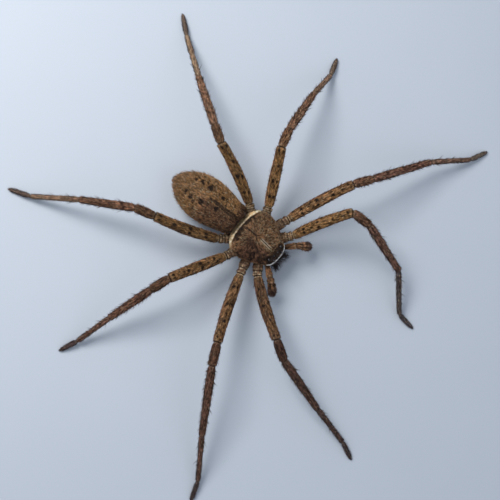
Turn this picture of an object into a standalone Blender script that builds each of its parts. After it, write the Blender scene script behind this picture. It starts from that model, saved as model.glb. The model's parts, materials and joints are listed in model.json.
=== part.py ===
"""A huntsman spider at life size, standing with its eight legs spread.

The head looks along -Y, the spider's left side is +X and the floor is z = 0.
Every size is in millimetres and becomes metres where a mesh is made. Places are
measured from the middle of the head shield, which stands at BODY_AT, so that the
middle of the leg span is the origin.
Each sub-part is one closed solid, and neighbours keep a thin gap between their faces.
"""
import math
import random

import bmesh
import bpy
import numpy as np
from mathutils import Vector
from mathutils.bvhtree import BVHTree

MM = 0.001
GAP = 0.3
FINE_GAP = 0.22
BODY_AT = (0.05, 0.37)

# Carapace: the shield over the front half of the body
CARAPACE_OUTLINE = [
    (0.0, -5.3), (1.2, -5.2), (2.2, -4.85), (2.9, -4.0), (3.6, -2.7), (4.5, -1.1), (5.05, 0.4),
    (5.1, 1.9), (4.7, 3.2), (3.85, 4.2), (2.6, 4.85), (1.2, 5.1), (0.0, 5.15),
]
CARAPACE_RIDGE = [(-5.3, 6.7), (-4.5, 7.1), (-3.0, 7.45), (-0.5, 7.8), (2.0, 7.75), (3.8, 7.1), (5.15, 6.3)]
CARAPACE_RIM_LOW = 5.25
CARAPACE_RIM_HIGH = 5.75
# How square the dome falls to the rim: at the sides, and what is added in front and behind
CARAPACE_STEEPNESS = 2.6
CARAPACE_STEEPER_FRONT = 5.5
CARAPACE_STEEPER_REAR = 2.5
CARAPACE_DOME = 0.62
CARAPACE_SIDES = 36
CARAPACE_RINGS = [0.14, 0.3, 0.44, 0.56, 0.68, 0.8, 0.89, 0.95, 0.985, 1.0]
CORE_BOTTOM = 4.2
CORE_WIDTH_SHARE = 0.5
CORE_LENGTH_SHARE = 0.6
CORE_TAPER = 0.92

# Grooves of the carapace on its left side: from, to, depth and half width
GROOVES = [
    ((0.0, 3.3), (0.0, 1.5), 0.3, 0.45),
    ((0.4, 1.6), (2.6, -2.9), 0.2, 0.5),
    ((0.7, 2.0), (4.5, 0.2), 0.13, 0.45),
    ((0.6, 2.6), (4.1, 3.0), 0.12, 0.45),
]

# Sternum and labium: the plates under the body between the leg bases
STERNUM_OUTLINE = [(0.0, -2.75), (1.2, -2.6), (2.1, -1.8), (2.5, -0.3), (2.35, 1.2), (1.4, 2.6), (0.0, 3.2)]
STERNUM_LOW = 2.95
STERNUM_HIGH = 3.9
STERNUM_EDGE = 0.5
STERNUM_SIDES = 20
STERNUM_RINGS = [(0.45, 0.0), (0.85, 0.12)]
LABIUM_AT = (0.0, -3.55, 3.4)
LABIUM_LENGTH = 0.95
LABIUM_RINGS = [(0.0, 0.55, 0.375), (0.6, 0.55, 0.375), (1.0, 0.31, 0.29)]

# Eyes: name, place across and along, diameter
EYES = [
    ("front_mid", 0.34, -5.02, 0.44),
    ("front_side", 1.08, -4.87, 0.56),
    ("rear_mid", 0.47, -4.18, 0.42),
    ("rear_side", 1.72, -3.95, 0.5),
]
ABOVE_ALL = 20.0

# Jaws, with the fang folded in behind the tip of each
JAW_TOP = (0.98, -5.1, 5.9)
JAW_TIP = (1.02, -5.8, 2.75)
JAW_RINGS = [(0.0, 0.78, 0.85), (0.2, 0.84, 0.94), (0.45, 0.85, 0.97), (0.7, 0.82, 0.9), (0.9, 0.7, 0.76),
             (1.0, 0.54, 0.6)]
FANG_ROOT = (1.1, -5.95, 2.12)
FANG_POINT = (0.45, -4.85, 1.85)
FANG_RINGS = [(0.0, 0.31, 0.31), (0.4, 0.28, 0.28), (0.75, 0.19, 0.19), (1.0, 0.06, 0.06)]
FANG_BEND = 0.35

# Palp bases (the plates beside the mouth) and the palps
MAXILLA_ROOT = (1.35, -3.15, 3.5)
MAXILLA_TIP = (1.0, -4.45, 3.35)
MAXILLA_RINGS = [(0.0, 0.42, 0.4), (0.3, 0.55, 0.42), (0.7, 0.6, 0.4), (1.0, 0.42, 0.34)]
PALP_ROOT = (1.7, -4.0, 3.7)
PALP_BEND = (2.45, -4.75, 4.2)
PALP_RUNS = (2.4, 1.0, 1.2, 1.1)
PALP_HEIGHTS = (5.5, 5.1, 3.7, 1.5)
PALP_HEADINGS = {"left": (-42, -52, -48, -41), "right": (-131, -121, -119, -124)}

# Abdomen with its stalk and spinnerets
ABDOMEN_START = (-0.12, 5.46)
ABDOMEN_LENGTH = 14.8
ABDOMEN_LEAN = 6.0
ABDOMEN_HALF_WIDTH = 4.5
ABDOMEN_TOP = 9.3
ABDOMEN_MIDDLE = 5.05
ABDOMEN_BOTTOM = 1.9
ABDOMEN_MIDLINE = (5.6, 4.5)
ABDOMEN_ARCH = 0.1
ABDOMEN_BACK_POWER = 0.9
ABDOMEN_FRONT_DROP = 0.36
ABDOMEN_WIDEST = 0.5
ABDOMEN_FRONT_LOSS = 0.34
ABDOMEN_FRONT_POWER = 1.6
ABDOMEN_BLUNT = 0.05
ABDOMEN_BLUNT_POWER = 3.0
ABDOMEN_REAR_POWER = 0.6
ABDOMEN_SIDES = 22
ABDOMEN_RINGS = [0.004, 0.018, 0.05, 0.14, 0.25, 0.37, 0.48, 0.59, 0.69, 0.78, 0.86, 0.92, 0.965, 0.992]
STALK_RINGS = [(0.0, 0.6, 0.6), (1.0, 0.6, 0.6)]
STALK_FROM = (0.0, 2.6, 4.75)
STALK_TO = (-0.1, 5.9, 4.75)
SPINNERET_AT = 0.92
SPINNERET_HEIGHT = 3.1
SPINNERET_SLOPE = -0.6
SPINNERET_RINGS = [(0.0, 0.9, 0.7), (0.8, 0.85, 0.62), (1.0, 0.6, 0.45)]
SPINNERET_SUNK = 1.0
SPINNERET_PROUD = 0.5
# The small cones on it: across, up, length and radius
SPINNERET_CONES = [(0.4, 0.22, 1.35, 0.32), (0.38, -0.24, 1.2, 0.34)]
CONE_SHAPE = [(0.0, 1.0), (0.7, 1.0), (1.0, 0.55)]

# Legs: segment lengths of each pair (femur, patella, tibia, metatarsus, tarsus)
SEGMENT_LENGTHS = {
    1: (13.1, 4.4, 12.6, 9.4, 3.9),
    2: (14.5, 4.5, 14.3, 10.0, 4.1),
    3: (12.7, 4.1, 10.1, 8.2, 3.7),
    4: (13.9, 4.0, 11.0, 10.4, 4.3),
}
COXA_INNER = {1: (2.35, -2.25), 2: (2.9, -0.4), 3: (2.8, 1.45), 4: (1.95, 3.05)}
COXA_OUTER = {1: (5.3, -4.6), 2: (7.2, -1.8), 3: (6.4, 2.7), 4: (4.6, 5.9)}
COXA_SWAY = {1: 0.0, 2: 0.0, 3: -0.1, 4: -0.28}
COXA_INNER_HEIGHT = 4.1
COXA_OUTER_HEIGHT = 4.4
ANKLE_HEIGHT = 1.1
TIP_HEIGHT = 0.32

# Pose: the compass heading of each segment in degrees, and the heights of the three knees
POSE = {
    ("left", 1): ((-27, -81, -98, -132, -92), (10.9, 9.7, 4.2)),
    ("left", 2): ((-20, -32, -31, -42, -24), (9.2, 7.9, 4.0)),
    ("left", 3): ((33, 16, 6, -1, 19), (10.3, 9.2, 5.7)),
    ("left", 4): ((71, 58, 57, 54, 51), (10.1, 8.8, 5.4)),
    ("right", 1): ((-124, -118, -102, -99, -111), (8.0, 7.1, 3.8)),
    ("right", 2): ((-159, -153, -145, -141, -157), (8.0, 8.9, 4.7)),
    ("right", 3): ((153, 164, 166, 168, 159), (8.6, 7.6, 4.0)),
    ("right", 4): ((114, 108, 122, 126, 112), (8.6, 8.0, 5.1)),
}

# Leg thickness: share of the way along, half width and half height of each ring
COXA_RINGS = [(0.0, 0.72, 0.95), (0.2, 0.84, 1.1), (0.5, 1.1, 1.2), (0.68, 1.06, 1.1), (0.76, 0.92, 0.95),
              (0.87, 1.02, 1.03), (1.0, 0.8, 0.84)]
FEMUR_RINGS = [(0.0, 0.82, 0.86), (0.05, 0.96, 1.0), (0.15, 1.06, 1.12), (0.32, 1.14, 1.2),
               (0.55, 1.16, 1.2), (0.78, 1.06, 1.1), (0.93, 1.04, 1.04), (1.0, 0.8, 0.82)]
PATELLA_RINGS = [(0.0, 0.76, 0.78), (0.12, 0.88, 0.92), (0.4, 0.97, 1.0), (0.75, 0.94, 0.96),
                 (0.92, 0.86, 0.88)]
TIBIA_RINGS = [(0.0, 0.74, 0.76), (0.05, 0.84, 0.86), (0.2, 0.9, 0.9), (0.45, 0.87, 0.87), (0.7, 0.79, 0.79),
               (0.93, 0.74, 0.74), (1.0, 0.6, 0.6)]
METATARSUS_RINGS = [(0.0, 0.54, 0.54), (0.07, 0.64, 0.64), (0.3, 0.62, 0.62), (0.6, 0.56, 0.56),
                    (0.93, 0.52, 0.5)]
TARSUS_RINGS = [(0.0, 0.44, 0.42), (0.15, 0.52, 0.48), (0.55, 0.5, 0.46), (0.9, 0.4, 0.4), (1.0, 0.26, 0.26)]
PALP_BASE_RINGS = [(0.0, 0.36, 0.36), (0.6, 0.42, 0.42)]
PALP_FEMUR_RINGS = [(0.0, 0.36, 0.36), (0.3, 0.5, 0.54), (0.8, 0.58, 0.6), (1.0, 0.46, 0.46)]
PALP_TIP_RINGS = [
    [(0.0, 0.46, 0.46), (0.35, 0.64, 0.64), (0.85, 0.64, 0.64)],
    [(0.0, 0.58, 0.58), (0.3, 0.74, 0.74), (0.85, 0.76, 0.76)],
    [(0.0, 0.68, 0.68), (0.25, 0.82, 0.78), (0.6, 0.8, 0.74), (0.88, 0.58, 0.54), (1.0, 0.3, 0.3)],
]
LEG_SIDES = 10
FOOT_SIDES = 8
SMALL_SIDES = 8
SPINE_SIDES = 4
MITRE_REACH = 2.5
FEMUR_BOW = {1: -0.3, 2: -0.25, 3: 0.0, 4: 0.35}

# Spines: share of the way along, and degrees round from the front side over the top
FEMUR_SPINES = [(0.3, 55), (0.36, 122), (0.62, 50), (0.68, 128)]
TIBIA_SPINES = [(0.22, 22), (0.28, 156), (0.6, 26), (0.66, 152)]
METATARSUS_SPINES = [(0.14, 28), (0.2, 150), (0.52, 152)]
SPINE_LENGTH = 1.8
SPINE_RINGS = [(0.0, 0.25, 0.25), (0.45, 0.175, 0.175), (1.0, 0.05, 0.05)]
SPINE_SUNK = 0.75
SPINE_LEAN = 61.0
SPINE_LEAN_SPREAD = 6.0
SPINE_SPREAD = 0.14
SPINE_SEED = 11
RIGHT_SEED = 100
SHARP_ANGLE = 40.0


def clear_scene():
    """Take away whatever objects the file opened with."""
    for thing in list(bpy.data.objects):
        bpy.data.objects.remove(thing, do_unlink=True)


def make_centre():
    """The empty that every sub-part hangs on."""
    centre = bpy.data.objects.new("body_centre", None)
    centre.location = Vector((*BODY_AT, 0.0)) * MM
    bpy.context.scene.collection.objects.link(centre)


def make_material(name, colour, roughness):
    """A plain Principled finish, never metallic."""
    material = bpy.data.materials.new(name)
    material.use_nodes = True
    shader = material.node_tree.nodes["Principled BSDF"]
    shader.inputs["Base Color"].default_value = (*colour, 1.0)
    shader.inputs["Roughness"].default_value = roughness
    shader.inputs["Metallic"].default_value = 0.0
    return material


def add_object(name, mesh, material):
    """Put a mesh into the scene as a named, smooth-shaded object."""
    mesh.materials.clear()
    mesh.materials.append(material)
    mesh.shade_smooth()
    mesh.set_sharp_from_angle(angle=math.radians(SHARP_ANGLE))
    thing = bpy.data.objects.new(name, mesh)
    thing.parent = bpy.data.objects["body_centre"]
    bpy.context.scene.collection.objects.link(thing)


def skin_rings(rings):
    """Join rings of points into one closed mesh, with a flat cap at each end."""
    rings = np.asarray(rings, dtype=float)
    count, sides = rings.shape[:2]
    body = bmesh.new()
    grid = [[body.verts.new(Vector(point) * MM) for point in ring] for ring in rings]
    for low, high in zip(grid, grid[1:]):
        for k in range(sides):
            n = (k + 1) % sides
            body.faces.new((low[k], low[n], high[n], high[k]))
    body.faces.new(grid[0][::-1])
    body.faces.new(grid[count - 1])
    bmesh.ops.recalc_face_normals(body, faces=body.faces)
    bmesh.ops.triangulate(body, faces=body.faces)
    mesh = bpy.data.meshes.new("solid")
    body.to_mesh(mesh)
    body.free()
    return mesh


def smooth_loop(half_outline, count):
    """A closed, even loop through a half outline and its mirror image, by Catmull-Rom curves."""
    right = np.array(half_outline, dtype=float)
    left = right[-2:0:-1] * (-1.0, 1.0)
    knots = np.vstack([right, left])
    steps = np.linspace(0.0, 1.0, 8, endpoint=False)[:, None]
    curve = []
    for k in range(len(knots)):
        a, b, c, d = (knots[(k + j - 1) % len(knots)] for j in range(4))
        curve.append(0.5 * (2 * b + (c - a) * steps + (2 * a - 5 * b + 4 * c - d) * steps ** 2
                            + (3 * b - a - 3 * c + d) * steps ** 3))
    curve = np.vstack(curve)
    closed = np.vstack([curve, curve[:1]])
    along = np.concatenate([[0.0], np.cumsum(np.linalg.norm(np.diff(closed, axis=0), axis=1))])
    wanted = np.linspace(0.0, along[-1], count, endpoint=False)
    return np.column_stack([np.interp(wanted, along, closed[:, 0]), np.interp(wanted, along, closed[:, 1])])


def groove_depth(flat):
    """How deep the grooves are at points of the shield: a soft trough along each named line."""
    depth = np.zeros(len(flat))
    side = np.abs(flat[:, 0])
    for (x0, y0), (x1, y1), deep, wide in GROOVES:
        line = np.array([x1 - x0, y1 - y0])
        along = ((side - x0) * line[0] + (flat[:, 1] - y0) * line[1]) / (line @ line)
        along = np.clip(along, 0.0, 1.0)
        away = np.hypot(side - x0 - along * line[0], flat[:, 1] - y0 - along * line[1])
        depth = np.maximum(depth, deep * np.exp(-(away / wide) ** 2))
    return depth


def carapace_rings(grow=0.0):
    """Rings of the shield from its top centre, over the rim and under it to the foot of the core."""
    loop = smooth_loop(CARAPACE_OUTLINE, CARAPACE_SIDES)
    reach = np.linalg.norm(loop, axis=1, keepdims=True)
    outward = loop / reach
    front = np.clip(-outward[:, 1], 0.0, 1.0) ** 4
    rear = np.clip(outward[:, 1], 0.0, 1.0) ** 4
    steepness = CARAPACE_STEEPNESS + CARAPACE_STEEPER_FRONT * front + CARAPACE_STEEPER_REAR * rear
    ridge_y, ridge_z = np.array(CARAPACE_RIDGE).T
    rings = []
    for share in CARAPACE_RINGS:
        flat = loop * share + outward * grow * share
        ridge = np.interp(flat[:, 1], ridge_y, ridge_z)
        dome = (1.0 - share ** steepness) ** CARAPACE_DOME
        height = CARAPACE_RIM_HIGH + (ridge - CARAPACE_RIM_HIGH) * dome - groove_depth(flat) * dome + grow
        rings.append(np.column_stack([flat, height]))
    under = loop + outward * grow
    core = loop * (CORE_WIDTH_SHARE, CORE_LENGTH_SHARE) + outward * grow
    rings.append(np.column_stack([under, np.full(len(loop), CARAPACE_RIM_LOW - grow)]))
    rings.append(np.column_stack([core, np.full(len(loop), CARAPACE_RIM_LOW - grow)]))
    rings.append(np.column_stack([core * CORE_TAPER, np.full(len(loop), CORE_BOTTOM - grow)]))
    return rings


def sternum_rings(grow=0.0):
    """Rings of the heart-shaped plate, domed a little underneath."""
    loop = smooth_loop(STERNUM_OUTLINE, STERNUM_SIDES)
    outward = loop / np.linalg.norm(loop, axis=1, keepdims=True)
    rings = []
    for share, rise in STERNUM_RINGS:
        height = STERNUM_LOW + rise - grow
        rings.append(np.column_stack([loop * share + outward * grow, np.full(len(loop), height)]))
    edge = STERNUM_HIGH - STERNUM_EDGE - grow
    rings.append(np.column_stack([loop + outward * grow, np.full(len(loop), edge)]))
    rings.append(np.column_stack([loop + outward * grow, np.full(len(loop), STERNUM_HIGH + grow)]))
    return rings


def abdomen_place(share):
    """Centre of the abdomen's outline at a share of its length, seen from above."""
    lean = math.radians(ABDOMEN_LEAN)
    away = share * ABDOMEN_LENGTH
    return np.array([ABDOMEN_START[0] - away * math.sin(lean), ABDOMEN_START[1] + away * math.cos(lean)])


def abdomen_girth(share):
    """Half width as a share of the widest: blunt in front, drawn out to the rear."""
    if share < ABDOMEN_WIDEST:
        girth = 1.0 - ABDOMEN_FRONT_LOSS * (1.0 - share / ABDOMEN_WIDEST) ** ABDOMEN_FRONT_POWER
        blunt = min(share / ABDOMEN_BLUNT, 1.0)
        return girth * (1.0 - (1.0 - blunt) ** ABDOMEN_BLUNT_POWER) ** (1.0 / ABDOMEN_BLUNT_POWER)
    behind = (share - ABDOMEN_WIDEST) / (1.0 - ABDOMEN_WIDEST)
    return (1.0 - behind ** 2) ** ABDOMEN_REAR_POWER


def abdomen_rise(share):
    """Height of the back as a share of the highest: the girth, lowered towards the front."""
    ahead = max(0.0, 1.0 - share / ABDOMEN_WIDEST)
    return abdomen_girth(share) * (1.0 - ABDOMEN_FRONT_DROP * ahead ** 2)


def abdomen_rings(grow=0.0):
    """Rings across the abdomen, with a flatter belly than back."""
    turn = np.linspace(0.0, 2.0 * np.pi, ABDOMEN_SIDES, endpoint=False)
    lean = math.radians(ABDOMEN_LEAN)
    rings = []
    for share in ABDOMEN_RINGS:
        girth = abdomen_girth(share)
        centre = abdomen_place(share)
        middle = ABDOMEN_MIDLINE[0] + (ABDOMEN_MIDLINE[1] - ABDOMEN_MIDLINE[0]) * share
        arch = ABDOMEN_ARCH * math.sin(math.pi * share)
        up = (ABDOMEN_TOP - ABDOMEN_MIDDLE) * abdomen_rise(share) ** ABDOMEN_BACK_POWER + arch + grow
        down = (ABDOMEN_MIDDLE - ABDOMEN_BOTTOM) * girth + grow
        across = (ABDOMEN_HALF_WIDTH * girth + grow) * np.cos(turn)
        height = np.where(np.sin(turn) > 0, up, down) * np.sin(turn)
        end = grow * (share - 0.5) * 2.0
        x = centre[0] + across * math.cos(lean) - end * math.sin(lean)
        y = centre[1] + across * math.sin(lean) + end * math.cos(lean)
        rings.append(np.column_stack([x, y, middle + height]))
    return rings


def unit(vector):
    """A vector of length one."""
    return vector / np.linalg.norm(vector)


def limb_rings(joints, profiles, sides, gaps=(0.0, 0.0), bow=0.0, before=None, after=None):
    """Rings along one or more segments of a limb.

    At each joint the ring lies in the plane that halves the bend, so that the end
    faces of two neighbours are parallel. gaps pulls the first and last faces back.
    before and after are the directions of the neighbouring segments.
    """
    joints = [np.array(joint, dtype=float) for joint in joints]
    heads = [unit(b - a) for a, b in zip(joints, joints[1:])]
    planes = [unit(heads[0] + (heads[0] if before is None else before))]
    planes += [unit(a + b) for a, b in zip(heads, heads[1:])]
    planes.append(unit(heads[-1] + (heads[-1] if after is None else after)))
    turn = np.linspace(0.0, 2.0 * np.pi, sides, endpoint=False)
    rings = []
    for k, profile in enumerate(profiles):
        head = heads[k]
        start = joints[k] + (head * gaps[0] if k == 0 else 0.0)
        end = joints[k + 1] - (head * gaps[1] if k == len(profiles) - 1 else 0.0)
        length = np.linalg.norm(end - start)
        side = unit(np.cross(head, (0.0, 0.0, 1.0)))
        up = np.cross(side, head)
        for share, half_width, half_height in profile:
            centre = start + (end - start) * share + side * bow * 4.0 * share * (1.0 - share)
            circle = np.outer(np.cos(turn) * half_width, side) + np.outer(np.sin(turn) * half_height, up)
            for plane, distance in ((planes[k], share * length), (planes[k + 1], (1.0 - share) * length)):
                fade = max(0.0, 1.0 - distance / (MITRE_REACH * half_width))
                slide = -(circle @ plane) / (head @ plane)
                circle = circle + np.outer(slide * fade, head)
            rings.append(centre + circle)
    return rings


def place_spines(start, end, profile, plan, sign, bow, draw):
    """Tapered spines that lean towards the foot, each with its root sunk in the segment."""
    head = unit(end - start)
    side = unit(np.cross(head, (0.0, 0.0, 1.0)))
    up = np.cross(side, head)
    shares, half_widths, half_heights = np.array(profile).T
    spines = []
    for share, degrees in plan:
        around = math.radians(degrees if sign > 0 else 180.0 - degrees)
        lean = math.radians(SPINE_LEAN + draw.uniform(-SPINE_LEAN_SPREAD, SPINE_LEAN_SPREAD))
        length = SPINE_LENGTH * (1.0 + draw.uniform(-SPINE_SPREAD, SPINE_SPREAD))
        wide = np.interp(share, shares, half_widths)
        high = np.interp(share, shares, half_heights)
        centre = start + (end - start) * share + side * bow * 4.0 * share * (1.0 - share)
        outward = side * math.cos(around) + up * math.sin(around)
        skin = side * math.cos(around) * wide + up * math.sin(around) * high
        way = outward * math.cos(lean) + head * math.sin(lean)
        root = centre + skin - way * SPINE_SUNK
        spine = limb_rings([root, root + way * (SPINE_SUNK + length)], [SPINE_RINGS], SPINE_SIDES)
        spines.append(skin_rings(spine))
    return spines


def leg_joints(side, pair):
    """The six joint centres of a leg from the femur's base to the tip of the tarsus."""
    sign = 1.0 if side == "left" else -1.0
    headings, knees = POSE[(side, pair)]
    x, y = COXA_OUTER[pair]
    heights = (COXA_OUTER_HEIGHT, *knees, ANKLE_HEIGHT, TIP_HEIGHT)
    joints = [np.array([sign * x + COXA_SWAY[pair], y, heights[0]])]
    for k, length in enumerate(SEGMENT_LENGTHS[pair]):
        rise = heights[k + 1] - heights[k]
        run = math.sqrt(length ** 2 - rise ** 2)
        angle = math.radians(headings[k])
        joints.append(joints[-1] + np.array([run * math.cos(angle), run * math.sin(angle), rise]))
    return joints


def palp_joints(side):
    """The six joint centres of a palp, from its root beside the mouth."""
    sign = 1.0 if side == "left" else -1.0
    joints = [np.array([sign * place[0], place[1], place[2]]) for place in (PALP_ROOT, PALP_BEND)]
    for run, height, heading in zip(PALP_RUNS, PALP_HEIGHTS, PALP_HEADINGS[side]):
        angle = math.radians(heading)
        last = joints[-1]
        joints.append(np.array([last[0] + run * math.cos(angle), last[1] + run * math.sin(angle), height]))
    return joints


def maxilla_rings(sign, grow=0.0):
    """Rings of the plate beside the mouth that carries a palp."""
    flip = np.array([sign, 1.0, 1.0])
    profile = [(share, wide + grow, high + grow) for share, wide, high in MAXILLA_RINGS]
    return limb_rings([np.array(MAXILLA_ROOT) * flip, np.array(MAXILLA_TIP) * flip], [profile], SMALL_SIDES)


def boolean(mesh, operation, cutters):
    """Union or difference of a mesh with others; the helpers are removed again."""
    collection = bpy.data.collections.new("helpers")
    bpy.context.scene.collection.children.link(collection)
    base = bpy.data.objects.new("base", mesh)
    bpy.context.scene.collection.objects.link(base)
    for cutter in cutters:
        helper = bpy.data.objects.new("helper", cutter)
        helper.hide_render = True
        helper.display_type = "WIRE"
        collection.objects.link(helper)
    modifier = base.modifiers.new("join", "BOOLEAN")
    modifier.operation = operation
    modifier.operand_type = "COLLECTION"
    modifier.collection = collection
    modifier.solver = "EXACT"
    graph = bpy.context.evaluated_depsgraph_get()
    result = bpy.data.meshes.new_from_object(base.evaluated_get(graph))
    for helper in list(collection.objects):
        bpy.data.objects.remove(helper, do_unlink=True)
    bpy.data.objects.remove(base, do_unlink=True)
    bpy.data.collections.remove(collection)
    return keep_largest(result)


def keep_largest(mesh):
    """Keep only the largest connected surface of a mesh."""
    body = bmesh.new()
    body.from_mesh(mesh)
    bmesh.ops.triangulate(body, faces=body.faces)
    left = set(body.faces)
    shells = []
    while left:
        stack = [left.pop()]
        shell = set(stack)
        while stack:
            for edge in stack.pop().edges:
                for face in edge.link_faces:
                    if face in left:
                        left.remove(face)
                        shell.add(face)
                        stack.append(face)
        shells.append(shell)
    largest = max(shells, key=lambda shell: sum(face.calc_area() for face in shell))
    scraps = [face for face in body.faces if face not in largest]
    bmesh.ops.delete(body, geom=scraps, context="FACES")
    body.to_mesh(mesh)
    body.free()
    return mesh


def ball(centre, radius, rounds=2):
    """A faceted ball."""
    body = bmesh.new()
    bmesh.ops.create_icosphere(body, subdivisions=rounds, radius=radius * MM)
    bmesh.ops.translate(body, verts=body.verts, vec=Vector(centre) * MM)
    mesh = bpy.data.meshes.new("ball")
    body.to_mesh(mesh)
    body.free()
    return mesh


def eye_places(carapace):
    """Where each eye sits: its centre on the shield's own surface, seen from above."""
    tree = BVHTree.FromPolygons([v.co.copy() for v in carapace.vertices],
                                [tuple(p.vertices) for p in carapace.polygons])
    places = []
    for name, across, along, diameter in EYES:
        start = Vector((across, along, ABOVE_ALL)) * MM
        hit = tree.ray_cast(start, Vector((0.0, 0.0, -1.0)))[0]
        places.append((name, np.array(hit) / MM, diameter / 2.0))
    return places


def build_front_body(materials):
    """The shield with its eye sockets, the plates under it and the eyes."""
    plain = skin_rings(carapace_rings())
    places = eye_places(plain)
    sockets = []
    for _, centre, radius in places:
        for sign in (1.0, -1.0):
            sockets.append(ball(centre * (sign, 1.0, 1.0), radius + FINE_GAP))
    add_object("carapace", boolean(plain, "DIFFERENCE", sockets), materials["shield"])
    for name, centre, radius in places:
        for side, sign in (("left", 1.0), ("right", -1.0)):
            add_object(f"eye_{name}_{side}", ball(centre * (sign, 1.0, 1.0), radius), materials["eye"])
    add_object("sternum", skin_rings(sternum_rings()), materials["underside"])
    half_length = np.array([0.0, LABIUM_LENGTH / 2, 0.0])
    tongue = limb_rings([LABIUM_AT + half_length, LABIUM_AT - half_length], [LABIUM_RINGS], SMALL_SIDES)
    add_object("labium", skin_rings(tongue), materials["underside"])


def build_jaws(materials):
    """Two jaws under the front of the shield, each with its fang, and the plates beside the mouth."""
    for side, sign in (("left", 1.0), ("right", -1.0)):
        flip = np.array([sign, 1.0, 1.0])
        ends = [np.array(JAW_TOP) * flip, np.array(JAW_TIP) * flip]
        jaw = skin_rings(limb_rings(ends, [JAW_RINGS], LEG_SIDES))
        jaw = boolean(jaw, "DIFFERENCE", [skin_rings(carapace_rings(GAP))])
        add_object(f"chelicera_{side}", jaw, materials["jaw"])
        root, point = np.array(FANG_ROOT) * flip, np.array(FANG_POINT) * flip
        fang = limb_rings([root, point], [FANG_RINGS], SMALL_SIDES, bow=FANG_BEND * sign)
        add_object(f"fang_{side}", skin_rings(fang), materials["fang"])
        add_object(f"maxilla_{side}", skin_rings(maxilla_rings(sign)), materials["underside"])


def build_palps(materials):
    """Two short feelers beside the jaws, each in a thigh and an outer part."""
    for side, sign in (("left", 1.0), ("right", -1.0)):
        joints = palp_joints(side)
        bend = unit(joints[3] - joints[2])
        thigh_head = unit(joints[2] - joints[1])
        profiles = [PALP_BASE_RINGS, PALP_FEMUR_RINGS]
        thigh = limb_rings(joints[:3], profiles, SMALL_SIDES, (0.0, GAP / 2), after=bend)
        thigh = boolean(skin_rings(thigh), "DIFFERENCE", [skin_rings(maxilla_rings(sign, GAP))])
        add_object(f"palp_{side}_femur", thigh, materials["leg"])
        outer = limb_rings(joints[2:], PALP_TIP_RINGS, SMALL_SIDES, (GAP / 2, 0.0), before=thigh_head)
        add_object(f"palp_{side}_tip", skin_rings(outer), materials["foot"])


def build_abdomen(materials):
    """The egg-shaped abdomen, its stalk and the spinnerets under its rear end."""
    add_object("abdomen", skin_rings(abdomen_rings()), materials["abdomen"])
    stalk = skin_rings(limb_rings([STALK_FROM, STALK_TO], [STALK_RINGS], SMALL_SIDES))
    cutters = [skin_rings(carapace_rings(GAP)), skin_rings(abdomen_rings(GAP))]
    add_object("pedicel", boolean(stalk, "DIFFERENCE", cutters), materials["underside"])
    centre = abdomen_place(SPINNERET_AT)
    base = np.array([centre[0], centre[1], SPINNERET_HEIGHT])
    away = unit(np.array([-math.sin(math.radians(ABDOMEN_LEAN)), 1.0, SPINNERET_SLOPE]))
    ends = [base - away * SPINNERET_SUNK, base + away * SPINNERET_PROUD]
    cluster = skin_rings(limb_rings(ends, [SPINNERET_RINGS], SMALL_SIDES))
    cones = []
    for across, up, length, radius in SPINNERET_CONES:
        profile = [(share, radius * part, radius * part) for share, part in CONE_SHAPE]
        for sign in (1.0, -1.0):
            root = base + np.array([across * sign, 0.0, up])
            cones.append(skin_rings(limb_rings([root, root + away * length], [profile], SMALL_SIDES)))
    cluster = boolean(cluster, "UNION", cones)
    cluster = boolean(cluster, "DIFFERENCE", [skin_rings(abdomen_rings(GAP))])
    add_object("spinnerets", cluster, materials["underside"])


def build_leg(side, pair, materials):
    """One leg in four solids: base, thigh, knee with shin, and foot."""
    sign = 1.0 if side == "left" else -1.0
    name = f"leg_{side}_{pair}"
    joints = leg_joints(side, pair)
    heads = [unit(b - a) for a, b in zip(joints, joints[1:])]
    inner = np.array([sign * COXA_INNER[pair][0], COXA_INNER[pair][1], COXA_INNER_HEIGHT])
    coxa_head = unit(joints[0] - inner)
    coxa = limb_rings([inner, joints[0]], [COXA_RINGS], LEG_SIDES, (0.0, GAP / 2), after=heads[0])
    cutters = [skin_rings(carapace_rings(GAP)), skin_rings(sternum_rings(GAP))]
    coxa = boolean(skin_rings(coxa), "DIFFERENCE", cutters)
    add_object(name + "_coxa", coxa, materials["leg"])
    draw = random.Random(SPINE_SEED * pair + (0 if side == "left" else RIGHT_SEED))
    bow = FEMUR_BOW[pair] * sign
    both = (GAP / 2, GAP / 2)
    femur = limb_rings(joints[:2], [FEMUR_RINGS], LEG_SIDES, both, bow, coxa_head, heads[1])
    spines = place_spines(joints[0], joints[1], FEMUR_RINGS, FEMUR_SPINES, sign, bow, draw)
    add_object(name + "_femur", boolean(skin_rings(femur), "UNION", spines), materials["leg"])
    profiles = [PATELLA_RINGS, TIBIA_RINGS]
    shin = limb_rings(joints[1:4], profiles, LEG_SIDES, both, 0.0, heads[0], heads[3])
    spines = place_spines(joints[2], joints[3], TIBIA_RINGS, TIBIA_SPINES, sign, 0.0, draw)
    add_object(name + "_tibia", boolean(skin_rings(shin), "UNION", spines), materials["leg"])
    profiles = [METATARSUS_RINGS, TARSUS_RINGS]
    foot = np.array(limb_rings(joints[3:], profiles, FOOT_SIDES, (GAP / 2, 0.0), 0.0, heads[2]))
    foot[:, :, 2] = np.maximum(foot[:, :, 2], 0.0)
    spines = place_spines(joints[3], joints[4], METATARSUS_RINGS, METATARSUS_SPINES, sign, 0.0, draw)
    add_object(name + "_foot", boolean(skin_rings(foot), "UNION", spines), materials["foot"])


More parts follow.
